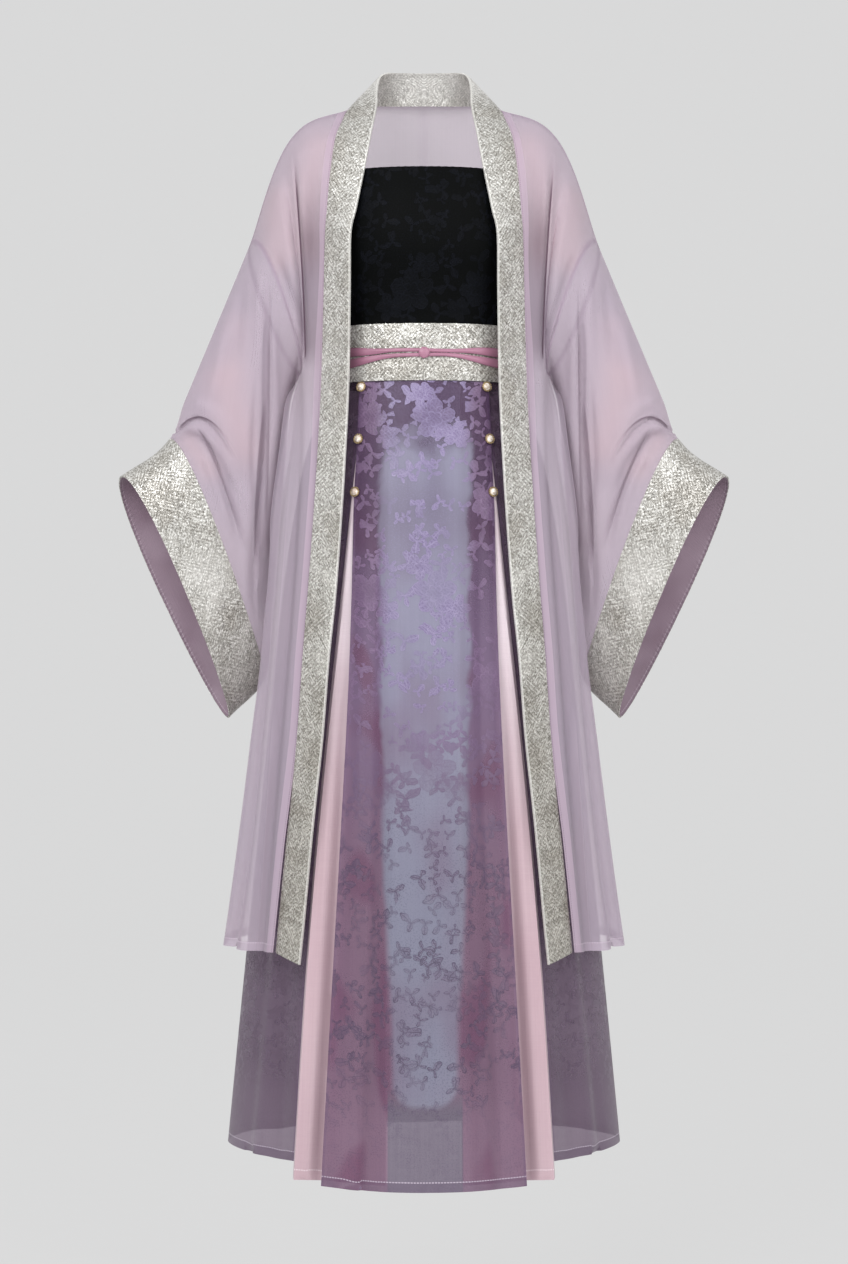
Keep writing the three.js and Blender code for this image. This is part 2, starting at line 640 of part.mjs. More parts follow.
// ---------- buttons ----------
// A pearl in a rimmed setting, flat behind, standing on the front panel's edge.
function button(x, z) {
  const profile = [
    [0, 0], [BUTTON_RADIUS * 0.8, 0], [BUTTON_RADIUS, 1.2], [BUTTON_RADIUS * 0.92, 2.4],
    [BUTTON_RADIUS * 0.7, 3.9], [0, BUTTON_HEIGHT],
  ];
  const geometry = new THREE.LatheGeometry(profile.map(([r, h]) => new THREE.Vector2(r, h)), 10);
  const section = sectionAt(SKIRT, 'z', z);
  const slope = (2 * section.drop * x) / section.edge ** 2;
  const lean = (frontPanelY(sectionAt(SKIRT, 'z', z + 5), x) - frontPanelY(sectionAt(SKIRT, 'z', z - 5), x)) / 10;
  const outward = point(slope, -1, lean).normalize();
  geometry.applyQuaternion(new THREE.Quaternion().setFromUnitVectors(point(0, 1, 0), outward));
  const seat = point(x, frontPanelY(section, x), z).addScaledVector(outward, 0.7);
  geometry.translate(seat.x, seat.y, seat.z);
  return geometry;
}

// ---------- materials ----------
const cloth = (color, roughness, metalness = 0) => (
  new THREE.MeshStandardMaterial({ color, roughness, metalness, side: THREE.DoubleSide })
);
const chiffon = cloth(0xc9b8c8, 0.7);
const brocade = cloth(0xcfcabd, 0.45, 0.3);
const facing = cloth(0x8c7382, 0.6);
const blackSatin = cloth(0x17191a, 0.35);
const jacquard = cloth(0x7f6690, 0.45);
const darkJacquard = cloth(0x4a3850, 0.5);
const pinkSatin = cloth(0xd2b3be, 0.4);
const liningCloth = cloth(0x8d8fa6, 0.5);
const ribbon = cloth(0xcf9fb2, 0.4);
const pearl = cloth(0xd8cdbf, 0.25, 0.4);

// ---------- assembly ----------
const hanfu = new THREE.Group();
function add(name, geometry, material) {
  const mesh = new THREE.Mesh(geometry, material);
  mesh.name = name;
  hanfu.add(mesh);
}
function addPair(name, geometry, material) {
  add(`${name}_left`, geometry, material);
  add(`${name}_right`, mirroredGeometry(geometry), material);
}

robeBackWalls().forEach(([name, geometry]) => add(name, geometry, chiffon));
addPair('robe_front', robeFrontWall(), chiffon);
addPair('sleeve', sleeve(), chiffon);
addPair('cuff_band', cuffBand(), brocade);
addPair('cuff_facing', cuffFacing(), facing);
addPair('collar_band', collarBand(), brocade);
add('top_front', topPanel(-90, 90), blackSatin);
add('top_back', topPanel(90, 270), blackSatin);
add('waistband', waistband(), brocade);
add('waist_tie_upper', tieStrand('upperTop', 'upperLow'), ribbon);
add('waist_tie_lower', tieStrand('lowerTop', 'lowerLow'), ribbon);
add('waist_tie_knot', tieKnot(), ribbon);
add('skirt_front', skirtFront(), jacquard);
addPair('skirt_side', skirtSide(), darkJacquard);
add('skirt_back', skirtBack(), darkJacquard);
addPair('pleat', pleatInsert(), pinkSatin);
add('skirt_lining', skirtLining(), liningCloth);
BUTTONS.forEach((place, i) => {
  add(`button_left_${i + 1}`, button(-place.x, place.z), pearl);
  add(`button_right_${i + 1}`, button(place.x, place.z), pearl);
});

export default hanfu;
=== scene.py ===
import math
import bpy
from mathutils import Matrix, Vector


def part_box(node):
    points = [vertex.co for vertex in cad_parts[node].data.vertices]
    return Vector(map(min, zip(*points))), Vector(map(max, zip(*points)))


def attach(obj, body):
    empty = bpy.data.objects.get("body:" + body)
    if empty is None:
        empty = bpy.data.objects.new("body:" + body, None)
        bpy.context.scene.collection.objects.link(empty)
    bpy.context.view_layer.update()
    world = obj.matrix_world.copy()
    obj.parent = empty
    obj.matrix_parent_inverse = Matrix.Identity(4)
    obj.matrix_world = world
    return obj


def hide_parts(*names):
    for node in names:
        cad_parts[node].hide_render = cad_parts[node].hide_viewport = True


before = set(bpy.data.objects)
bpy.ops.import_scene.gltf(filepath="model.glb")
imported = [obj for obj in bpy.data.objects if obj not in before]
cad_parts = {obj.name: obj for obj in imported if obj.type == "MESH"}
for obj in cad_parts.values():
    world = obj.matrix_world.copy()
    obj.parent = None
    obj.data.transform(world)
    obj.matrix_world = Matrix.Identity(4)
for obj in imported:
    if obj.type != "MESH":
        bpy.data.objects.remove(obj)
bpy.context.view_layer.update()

from types import SimpleNamespace

import bmesh
import bpy
import numpy as np
from mathutils import Matrix, Vector

# A hanfu set: open robe with bell sleeves, tube top and long pleated skirt.
# The shape functions and tables work in millimetres; meshes are written in metres.
# The left pieces lie at -X, and the front faces -Y.
MM = 0.001
LEFT, RIGHT = 1, -1  # the sign that turns a left shape into itself or into its mirror image


# ---------- tables: sections of the garment, with named columns ----------
class Table:
    """Rows of numbers under named columns, read as smooth curves along the first column."""

    def __init__(self, names, *rows):
        self.names, self.rows = names.split(), np.array(rows, float)

    def __call__(self, place):
        keys, rows = self.rows[:, 0], self.rows
        place = np.clip(np.asarray(place, float), keys[0], keys[-1])
        i = np.clip(np.searchsorted(keys, place, side="right") - 1, 0, len(keys) - 2)
        span = (keys[i + 1] - keys[i])[..., None]
        t = (place - keys[i])[..., None] / span
        slope = np.diff(rows, axis=0) / np.diff(keys)[:, None]
        chord, first, final = slope[i], (i == 0)[..., None], (i == len(keys) - 2)[..., None]
        before = np.where(first, chord, (slope[np.maximum(i - 1, 0)] + chord) / 2)
        after = np.where(final, chord, (slope[np.minimum(i + 1, len(slope) - 1)] + chord) / 2)
        value = (
            rows[i] * (2 * t**3 - 3 * t**2 + 1) + before * span * (t**3 - 2 * t**2 + t)
            + rows[i + 1] * (3 * t**2 - 2 * t**3) + after * span * (t**3 - t**2)
        )
        return SimpleNamespace(**{n: value[..., k] for k, n in enumerate(self.names)})


TOP_UPPER_Z, TOP_LOWER_Z = -90, -302
WAIST_TOP_Z, WAIST_BOTTOM_Z = -282.5, -353
SKIRT_TOP_Z, SKIRT_HEM_Z = -353.3, -1320
LINING_HEM_Z, LINING_CORNER = -1222, 26
LINING_HALF_TOP, LINING_HALF_HEM = 47, 38
ROBE_HEM_Z, ARMPIT_Z = -1060, -335
PLEAT_INNER_X, LINING_GAP = 45, 2.4
FORM_POWER, ROBE_BACK_POWER = 2.3, 2.2
NECK_POINT, BAND_END = 4, 20
CUFF_SEAM, CUFF_RIM, RING_SKEW = 5, 6, 0.12
SHOULDER_SHARE = 0.33
BLADE_DEPTH = 26

FORM = Table(
    "z half front back",
    (-1320, 118, 88, 83), (-353, 118, 88, 83), (-282, 116, 87, 84), (-230, 120, 98, 92),
    (-175, 124, 111, 93), (-130, 123, 107, 90), (-90, 120, 97, 83),
)
SKIRT = Table(
    "z half front edge drop side sideY back power fold nest",
    (-1320, 253, 258, 122, 38, 146, 54, 180, 1.6, 156, 34),
    (-1101, 231, 217, 111, 33, 138, 43, 163, 1.68, 143, 27),
    (-929, 213, 186, 102, 30, 130, 34, 148, 1.78, 130, 20),
    (-746, 194, 156, 93, 26, 122, 22, 133, 1.9, 112, 13),
    (-625, 181, 139, 89, 24, 117, 12, 123, 2.0, 99, 8),
    (-505, 163, 121, 86.5, 22, 110, 5, 112, 2.1, 86, 2.6),
    (-430, 147, 107, 83, 21, 97, 2, 100, 2.2, 78, 2.4),
    (-353, 119, 90, 80, 18.5, 85, 0, 83, 2.3, 72, 2.4),
)
ROBE = Table(
    "z half sideY back",
    (-1060, 252, 21, 188), (-960, 238, 13, 176), (-850, 224, 5, 164), (-800, 218, 0, 159),
    (-713, 207, -6, 149), (-655, 202, -10, 143), (-585, 195, -14, 135), (-500, 184, -18, 125),
    (-430, 174, -18, 114), (-369, 166, -12, 107), (-335, 156, 0, 104),
)
BAND = Table(
    "s ix iy iz ox oy oz",
    (0, 0, 72, 61, 0, 84, 21), (1, -30, 69, 61, -38, 80, 20), (2, -50, 50, 57, -70, 62, 17),
    (3, -58, 20, 45, -90, 28, 10), (4, -60, -8, 24, -98, -2, -2), (5, -60, -37, -2, -103, -24, -18),
    (6, -66, -66, -42, -111, -52, -46), (7, -74, -88, -90, -117, -70, -94),
    (8, -84, -98, -140, -121, -75, -142), (9, -91, -101, -172, -123.5, -74, -174),
    (10, -92, -100, -239, -125, -71, -239), (11, -93.5, -101, -352, -128, -72, -350),
    (12, -97, -112, -440, -132, -84, -437), (13, -102, -126, -529, -137, -98, -525),
    (14, -108.5, -136, -619, -143, -108, -613), (15, -116.5, -142, -698, -149, -114, -690),
    (16, -124, -147, -794, -155.5, -118, -786), (17, -133, -151, -877, -163, -121, -868),
    (18, -138.5, -152, -932, -169, -121, -922), (19, -146, -152, -1013, -177, -120, -1003),
    (20, -151.5, -152, -1067, -182, -119, -1056),
)
SHOULDER = Table(
    "s x y z",
    (0, -98, -2, -2), (0.33, -151, 0, -20), (0.47, -171.5, 1, -41), (0.63, -189, 1, -75),
    (1, -220, 0, -170),
)
SLEEVE = Table(
    "s tx tz ty bx bz by depth tilt",
    (0, -220, -170, 0, -156, -335, 0, 61, 15), (1, -232, -199, 0, -171, -374, 14, 61, 15),
    (2, -250, -242, 1, -179, -452, 34, 60, 15), (3, -279, -311, 2, -189, -545, 44, 58, 16),
    (4, -303, -368, 4, -198, -645, 50, 55, 18), (5, -324, -419, 5, -207, -728, 52, 52, 19),
    (6, -386, -467, 8, -252, -774, 46, 50, 20),
)
TIE = Table(
    "x upperTop upperLow lowerTop lowerLow",
    (0, -314, -318.6, -319.8, -324.4), (42, -313.6, -318.6, -319.8, -325),
    (92, -311, -322.6, -325, -336.5), (130, -311, -322.6, -325, -336.5),
)
CREASE = Table("t u depth", (0, 0.58, 0), (0.25, 0.54, 8), (0.6, 0.55, 13), (0.85, 0.66, 8), (1, 0.7, 0))
FRONT_FOLDS = ((0.3, 5, 0.1), (0.55, -11, 0.08), (0.78, 7, 0.1))  # place across, depth, width


# ---------- shape functions, in millimetres ----------
def mix(a, b, t):
    return a + (b - a) * t


def spow(v, p):
    return np.sign(v) * np.abs(v) ** p


def points(x, y, z):
    return np.stack(np.broadcast_arrays(x, y, z), axis=-1).astype(float)


def column(low, high, count):
    return np.linspace(low, high, count)[:, None]


def row(low, high, count):
    return np.linspace(low, high, count)[None, :]


def mirror_if(grid, side):
    return grid * np.array([side, 1, 1])


def torso(z, degrees, out=0.0):
    s, a = FORM(z), np.radians(degrees)
    depth = np.where(np.cos(a) > 0, s.front, s.back)
    x = -(s.half + out) * spow(np.sin(a), 2 / FORM_POWER)
    y = -(depth + out) * spow(np.cos(a), 2 / FORM_POWER)
    return points(x, y, z)


def waist(z, degrees, out):
    """The straight waist between the waistband's top and bottom."""
    t = (z - WAIST_TOP_Z) / (WAIST_BOTTOM_Z - WAIST_TOP_Z)
    top = torso(np.full_like(t * degrees, WAIST_TOP_Z), degrees, out)
    low = torso(np.full_like(t * degrees, WAIST_BOTTOM_Z), degrees, out)
    return mix(top, low, t[..., None])


def panel_y(s, x):
    return -s.front + s.drop * np.minimum(1, (x / s.edge) ** 2)


def side_y(s, x):
    across = np.clip(x / s.half, 0, 1) ** s.power
    return s.sideY - (s.side + s.sideY) * (1 - across) ** (1 / s.power)


def band(s):
    b = BAND(s)
    return points(b.ix, b.iy, b.iz), points(b.ox, b.oy, b.oz)


STATIONS = np.linspace(NECK_POINT, BAND_END, 400)
STATION_Z = BAND(STATIONS).oz


def band_station(z):
    return np.interp(-np.asarray(z, float), -STATION_Z, STATIONS)


def sleeve_point(s, degrees):
    r, a = SLEEVE(s), np.radians(degrees)
    front, down = np.sin(a), (1 - np.cos(a)) / 2
    along = down - RING_SKEW * front * front
    out = points(r.bz - r.tz, 0 * r.tx, r.tx - r.bx)
    out = out / np.linalg.norm(out, axis=-1, keepdims=True)
    p = points(mix(r.tx, r.bx, along), mix(r.ty, r.by, along), mix(r.tz, r.bz, along))
    p = p - out * (r.tilt * front)[..., None]
    p[..., 1] -= r.depth * front
    return p


def shoulder(t):
    s = SHOULDER(t)
    return points(s.x, s.y, s.z)


def front_section(z, u):
    s = ROBE(z)
    start = band(band_station(z))[1]
    rise = (s.half + start[..., 0]) * 0.93
    bend = points(-s.half, start[..., 1] + rise, z)
    side = points(-s.half, s.sideY, z)
    w = np.asarray(u, float)[..., None]
    return (1 - w) ** 2 * start + 2 * w * (1 - w) * bend + w**2 * side


def back_section(z, u):
    s, a = ROBE(z), math.pi * u
    x = -s.half * spow(np.cos(a), 2 / ROBE_BACK_POWER)
    reach = (s.back - s.sideY) * np.abs(np.sin(a)) ** (2 / ROBE_BACK_POWER)
    return points(x, s.sideY + reach, z)


def patch(top, bottom, first, last, reach, decay, u, t):
    """A surface between four curves; the two side curves pull it towards themselves."""
    def ruled(across):
        return mix(top(across + 0 * t), bottom(across + 0 * t), t[..., None])

    def pull(distance):
        return (np.clip(1 - distance / reach, 0, 1) ** decay)[..., None]

    left = (first(t) - ruled(0 * t)) * pull(u + 0 * t)
    right = (last(t) - ruled(1 + 0 * t)) * pull(1 - u + 0 * t)
    return ruled(u) + left + right


def back_top(u):
    side = np.minimum(u, 1 - u)
    on_shoulder = shoulder(1 - np.minimum(side, SHOULDER_SHARE) / SHOULDER_SHARE)
    station = NECK_POINT * (0.5 - np.maximum(side, SHOULDER_SHARE)) / (0.5 - SHOULDER_SHARE)
    p = np.where((side < SHOULDER_SHARE)[..., None], on_shoulder, band(station)[1])
    return p * np.where((u < 0.5)[..., None], 1.0, np.array([-1.0, 1.0, 1.0]))


def swelling(u, count, depth, z, top, hem):
    """Soft upright folds across a panel that grow towards the hem."""
    swell = np.clip((top - z) / (top - hem), 0, 1) ** 1.3
    return depth * swell * np.abs(np.sin(math.pi * u)) ** 0.5 * np.sin(2 * math.pi * count * u)


# ---------- folds placed one by one -------
def smooth_path(path, count=40):
    """A line of points as a soft curve through them."""
    path = np.array(path, float)
    keys = np.concatenate([[0], np.cumsum(np.linalg.norm(np.diff(path, axis=0), axis=1))])
    table = Table("k x z", *np.column_stack([keys, path]))
    s = table(np.linspace(0, keys[-1], count))
    return np.column_stack([s.x, s.z])


def ease(v):
    v = np.clip(v, 0, 1)
    return v * v * (3 - 2 * v)


def near_path(across, up, path):
    """Signed distance from a path, and how far along it, for places on a sheet."""
    line = smooth_path(path)
    place = np.stack([across, up], axis=-1)[..., None, :]
    start, step = line[:-1], np.diff(line, axis=0)
    along = ((place - start) * step).sum(-1) / (step**2).sum(-1)
    along = np.clip(along, 0, 1)
    gap = place - (start + along[..., None] * step)
    distance = np.linalg.norm(gap, axis=-1)
    pick = distance.argmin(-1)[..., None]
    def take(values):
        return np.take_along_axis(np.broadcast_to(values, distance.shape), pick, -1)[..., 0]
    sign = np.sign(take(gap[..., 0] * step[:, 1] - gap[..., 1] * step[:, 0]))
    share = (take(along) + pick[..., 0]) / len(step)
    return take(distance) * sign, share


class Fold:
    """One crease: its path seen from the front (x, z), how far out it stands or in it sinks at its
    two ends, its width at its two ends, and how much cloth is tucked into it, which the materials draw
    as extra opacity and as painted shade. An overlap has a soft side, 1 to the left of its way or -1 to
    the right, and ends abruptly on the other."""

    def __init__(self, path, depth, width, lip=0.0, tuck=0.0, fade=(0.18, 0.25), back=False,
                 sharp=1.6, soft=0):
        self.path, self.depth, self.width, self.sharp, self.soft = path, depth, width, sharp, soft
        self.lip, self.tuck, self.fade, self.back = lip, tuck, fade, back


EDGE_WIDTH = 0.9


def add_folds(grid, normals, folds, side, seed):
    """Moves a sheet along its normals by its folds, and says how much cloth each place holds, which the
    materials draw as extra opacity and as painted shade.
    """
    rng = np.random.default_rng(seed)
    moved, tucked = np.zeros(grid.shape[:2]), np.zeros(grid.shape[:2])
    for f in folds:
        wander = rng.uniform(-1.5, 1.5, size=(len(f.path), 2))
        distance, share = near_path(grid[..., 0] * side, grid[..., 2], np.array(f.path) + wander)
        fades = ease(share / max(f.fade[0], 1e-6)) * ease((1 - share) / max(f.fade[1], 1e-6))
        facing = ease(0.5 + 2.5 * normals[..., 1] * (1 if f.back else -1))
        width = mix(f.width[0], f.width[1], share)
        if f.soft:
            width = np.where(distance * f.soft > 0, width, EDGE_WIDTH)
        d = distance / width
        bell = np.exp(-(d**2)) * fades * facing
        moved += mix(f.depth[0], f.depth[1], share) * bell + f.lip * d * bell
        tucked += f.tuck * np.exp(-((f.sharp * d) ** 2)) * fades * facing
    return grid + normals * moved[..., None], np.clip(tucked, 0, 1)


# ---------- sheets as thin shells ----------
def sheet_normals(grid, around):
    """Outward normals: away from the ring's middle, or from the line through the body."""
    along = np.gradient(grid, axis=0)
    if around:
        across = np.roll(grid, -1, 1) - np.roll(grid, 1, 1)
        middle = grid.mean(axis=1, keepdims=True)
    else:
        across = np.gradient(grid, axis=1)
        middle = grid * np.array([0, 0, 1]) + np.array([0, 20, 0])
    n = np.cross(along, across)
    n = n / np.maximum(np.linalg.norm(n, axis=-1, keepdims=True), 1e-9)
    return -n if ((grid - middle) * n).sum() < 0 else n


def lengths(grid, axis, around=False):
    if around:
        grid = np.concatenate([grid, grid[:, :1]], axis=1)
    step = np.linalg.norm(np.diff(grid, axis=axis), axis=-1)
    pad = [(0, 0), (0, 0)]
    pad[axis] = (1, 0)
    total = np.pad(np.cumsum(step, axis=axis), pad)
    return total


def shell(name, grid, wall, material, replaces, around=False, normals=None, marks=None, inside=None):
    """A closed thin shell whose outer face is the grid, with a plainer cloth inside where one is
    given. Its map "cut" gives metres across and up from the lower edge, and "edge" gives metres
    from the nearer side edge and from the lower edge."""
    if normals is None:
        normals = sheet_normals(grid, around)
    m, n = grid.shape[:2]
    inner = grid - normals * wall
    verts = np.concatenate([grid.reshape(-1, 3), inner.reshape(-1, 3)]) * MM
    across = lengths(grid, 1, around)
    up = lengths(grid, 0)
    up = up[-1:] - up
    if around:
        up = np.concatenate([up, up[:, :1]], axis=1)
    side = np.minimum(across, across[:, -1:] - across)
    middle = across.shape[1] // 2
    maps = {"cut": (across - across[:, middle:middle + 1], up), "edge": (side, up)}
    cols = n if around else n - 1
    i, j = [v.ravel() for v in np.meshgrid(np.arange(m - 1), np.arange(cols), indexing="ij")]
    k = (j + 1) % n
    corner = [i * n + j, (i + 1) * n + j, (i + 1) * n + k, i * n + k]
    spot = [(i, j), (i + 1, j), (i + 1, j + 1), (i, j + 1)]
    faces = [np.column_stack(corner), np.column_stack(corner[::-1]) + m * n]
    spots = [spot, spot[::-1]]
    rims = []
    e = np.arange(cols)
    for r in (0, m - 1):
        rims.append(([r * n + e, r * n + (e + 1) % n], [(r + 0 * e, e), (r + 0 * e, e + 1)]))
    if not around:
        e = np.arange(m - 1)
        for c in (0, n - 1):
            rims.append(([e * n + c, (e + 1) * n + c], [(e, c + 0 * e), (e + 1, c + 0 * e)]))
    for (a, b), (pa, pb) in rims:
        faces.append(np.column_stack([a, b, b + m * n, a + m * n]))
        spots.append([pa, pb, pb, pa])
    mesh = bpy.data.meshes.new(name)
    mesh.from_pydata(verts.tolist(), [], np.concatenate(faces).tolist())
    if inside is not None:
        slots = np.zeros(len(mesh.polygons), np.int32)
        slots[len(faces[0]):2 * len(faces[0])] = 1
        mesh.polygons.foreach_set("material_index", slots)
    for map_name, (u, v) in maps.items():
        layer = mesh.uv_layers.new(name=map_name)
        uv = [np.stack([np.stack([u[s], v[s]], -1) for s in sp], axis=1).reshape(-1, 2) for sp in spots]
        layer.data.foreach_set("uv", (np.concatenate(uv) * MM).ravel().astype(np.float32))
    for mark, values in (marks or {}).items():
        layer = mesh.attributes.new(mark, "FLOAT", "POINT")
        layer.data.foreach_set("value", np.tile(values.ravel(), 2).astype(np.float32))
    b = bmesh.new()
    b.from_mesh(mesh)
    bmesh.ops.recalc_face_normals(b, faces=b.faces)
    b.to_mesh(mesh)
    b.free()
    piece = bpy.data.objects.new(name, mesh)
    bpy.context.scene.collection.objects.link(piece)
    finish_piece(piece, material, replaces)
    if inside is not None:
        piece.data.materials.append(inside)
    return piece


def only(piece):
    bpy.ops.object.select_all(action="DESELECT")
    piece.select_set(True)
    bpy.context.view_layer.objects.active = piece


def finish_piece(piece, material, replaces, angle=50):
    if material is not None:
        piece.data.materials.append(material)
    only(piece)
    bpy.ops.object.shade_smooth_by_angle(angle=math.radians(angle))
    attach(piece, "root")
    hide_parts(*replaces)


# ---------- node helpers ----------
class Value:
    """A number in a node tree that can be added, multiplied and so on."""

    def __init__(self, tree, socket):
        self.tree, self.socket = tree, socket

    def op(self, name, *others, clamp=False):
        node = self.tree.nodes.new("ShaderNodeMath")
        node.operation, node.use_clamp = name, clamp
        for k, item in enumerate((self, *others)):
            if isinstance(item, Value):
                self.tree.links.new(item.socket, node.inputs[k])
            else:
                node.inputs[k].default_value = item
        return Value(self.tree, node.outputs[0])

    def __add__(self, o): return self.op("ADD", o)
    def __sub__(self, o): return self.op("SUBTRACT", o)
    def __mul__(self, o): return self.op("MULTIPLY", o)
    def __truediv__(self, o): return self.op("DIVIDE", o)
    def __pow__(self, o): return self.op("POWER", o)
    def __neg__(self): return self * -1.0
    __radd__, __rmul__ = __add__, __mul__

    def abs(self): return self.op("ABSOLUTE")
    def sin(self): return self.op("SINE")
    def cos(self): return self.op("COSINE")
    def clamp(self): return self.op("ADD", 0.0, clamp=True)

    def ramp(self, low, high, to=(0.0, 1.0)):
        node = self.tree.nodes.new("ShaderNodeMapRange")
        node.interpolation_type = "SMOOTHSTEP"
        self.tree.links.new(self.socket, node.inputs["Value"])
        node.inputs["From Min"].default_value, node.inputs["From Max"].default_value = low, high
        node.inputs["To Min"].default_value, node.inputs["To Max"].default_value = to
        return Value(self.tree, node.outputs[0])

    def larger(self, other): return self.op("MAXIMUM", other)


class Cloth:
    """A material being made: its tree and the usual readings of a sheet."""

    def __init__(self, name):
        self.material = bpy.data.materials.new(name)
        self.material.use_nodes = True
        self.tree = self.material.node_tree
        self.tree.nodes.clear()
        self.output = self.tree.nodes.new("ShaderNodeOutputMaterial")

    def node(self, kind, **inputs):
        made = self.tree.nodes.new(kind)
        for key, item in inputs.items():
            self.set(made, key.replace("_", " "), item)
        return made

    def set(self, node, key, item):
        if isinstance(item, Value):
            item = item.socket
        if isinstance(item, bpy.types.NodeSocket):
            self.tree.links.new(item, node.inputs[key])
        else:
            node.inputs[key].default_value = item

    def map(self, name):
        """The sheet's map in millimetres: across and up."""
        uv = self.tree.nodes.new("ShaderNodeUVMap")
        uv.uv_map = name
        parts = self.node("ShaderNodeSeparateXYZ", Vector=uv.outputs[0])
        return Value(self.tree, parts.outputs[0]) * 1000.0, Value(self.tree, parts.outputs[1]) * 1000.0

    def vector(self, x, y, z=0.0):
        return self.node("ShaderNodeCombineXYZ", X=x, Y=y, Z=z).outputs[0]

    def object_place(self, scale=1.0):
        place = self.tree.nodes.new("ShaderNodeTexCoord").outputs["Object"]
        node = self.tree.nodes.new("ShaderNodeVectorMath")
        node.operation = "SCALE"
        self.tree.links.new(place, node.inputs[0])
        node.inputs["Scale"].default_value = scale
        return node.outputs[0]

    def noise(self, vector, detail=2.0, rough=0.5):
        node = self.node("ShaderNodeTexNoise", Vector=vector, Scale=1.0, Detail=detail, Roughness=rough)
        return Value(self.tree, node.outputs[0])

    def mark(self, name):
        node = self.tree.nodes.new("ShaderNodeAttribute")
        node.attribute_name = name
        return Value(self.tree, node.outputs["Fac"])

    def blend(self, share, a, b, mode="MIX"):
        node = self.tree.nodes.new("ShaderNodeMix")
        node.data_type, node.blend_type = "RGBA", mode
        ends = [s for s in node.inputs if s.type == "RGBA"]
        for socket, item in ((node.inputs[0], share), (ends[0], a), (ends[1], b)):
            if isinstance(item, Value):
                item = item.socket
            if isinstance(item, bpy.types.NodeSocket):
                self.tree.links.new(item, socket)
            else:
                socket.default_value = item
        return [s for s in node.outputs if s.type == "RGBA"][0]

    def bump(self, height, distance, strength=1.0):
        return self.node("ShaderNodeBump", Height=height, Distance=distance, Strength=strength).outputs[0]

    def finish(self, surface):
        self.tree.links.new(surface, self.output.inputs["Surface"])
        return self.material

    def sheer(self, surface, opacity, tint):
        """The surface with the share of light that passes between its threads."""
        clear = self.node("ShaderNodeBsdfTransparent", Color=tint).outputs[0]
        both = self.tree.nodes.new("ShaderNodeMixShader")
        self.set(both, "Fac", opacity)
        self.tree.links.new(clear, both.inputs[1])
        self.tree.links.new(surface, both.inputs[2])
        return both.outputs[0]


def rgb(r, g, b):
    """A colour given as a swatch's red, green and blue from 0 to 255."""
    def linear(v):
        v /= 255
        return v / 12.92 if v <= 0.04045 else ((v + 0.055) / 1.055) ** 2.4
    return (linear(r), linear(g), linear(b), 1.0)


def line_at(distance, place, half):
    """1 on a thin line at a distance, falling to 0 beside it."""
    return (distance - place).abs().ramp(half, half * 0.4)


# ---------- woven flowers and leaves ----------
def group_start(name, *inputs):
    tree = bpy.data.node_groups.new(name, "ShaderNodeTree")
    for item in inputs:
        tree.interface.new_socket(item, in_out="INPUT", socket_type="NodeSocketFloat")
    for item in ("Figure", "Line"):
        tree.interface.new_socket(item, in_out="OUTPUT", socket_type="NodeSocketFloat")
    start = tree.nodes.new("NodeGroupInput")
    return tree, [Value(tree, start.outputs[k]) for k in range(len(inputs))]


def group_end(tree, figure, lines):
    end = tree.nodes.new("NodeGroupOutput")
    tree.links.new(figure.socket, end.inputs[0])
    tree.links.new(lines.socket, end.inputs[1])
    return tree


def turned(x, y, angle):
    c, s = angle.cos(), angle.sin()
    return x * c + y * s, y * c - x * s


def blossom_group():
    """A full round flower: three rings of lobed petals, with seams and fine veins."""
    tree, (x, y, cx, cy, turn, size) = group_start("blossom", "X", "Y", "CX", "CY", "Turn", "Size")
    dx, dy = turned((x - cx) / size, (y - cy) / size, turn)
    r = (dx * dx + dy * dy).op("SQRT")
    angle = dy.op("ARCTAN2", dx)
    figure, lines = None, None
    for radius, lobe, petals, shift in ((0.56, 0.44, 2.5, 0.0), (0.4, 0.3, 3.5, 0.7), (0.2, 0.2, 2.5, 1.9)):
        wave = (angle * petals + shift).cos().abs()
        rim = (wave ** 0.8) * lobe + radius
        ring = r - rim
        edge = ring.abs().ramp(0.055, 0.016)
        seam = wave.ramp(0.16, 0.02) * r.ramp(radius + 0.1, radius) * r.ramp(radius - 0.34, radius - 0.2)
        both = edge.larger(seam)
        lines = both if lines is None else lines.larger(both * r.ramp(0.75, 0.6))
        if figure is None:
            figure = ring.ramp(0.02, -0.02)
    veins = ((angle * 26.0 + r * 9.0).sin() * 0.5 + 0.5) ** 2.0
    lines = lines.larger(veins * 0.6 * r.ramp(0.25, 0.5))
    return group_end(tree, figure, lines * figure)


BLOSSOM = blossom_group()

# One repeat of the weave's large flowers; every second column is dropped by half.
REPEAT_WIDE, REPEAT_HIGH = 150.0, 218.0
MOTIFS = (
    (BLOSSOM, 38, 60, 0.3, 27), (BLOSSOM, 66, 40, 1.3, 18), (BLOSSOM, 20, 92, 2.2, 17),
    (BLOSSOM, 106, 172, 1.1, 23), (BLOSSOM, 130, 146, 2.0, 16),
)
LANE_SHIFT = 26.0


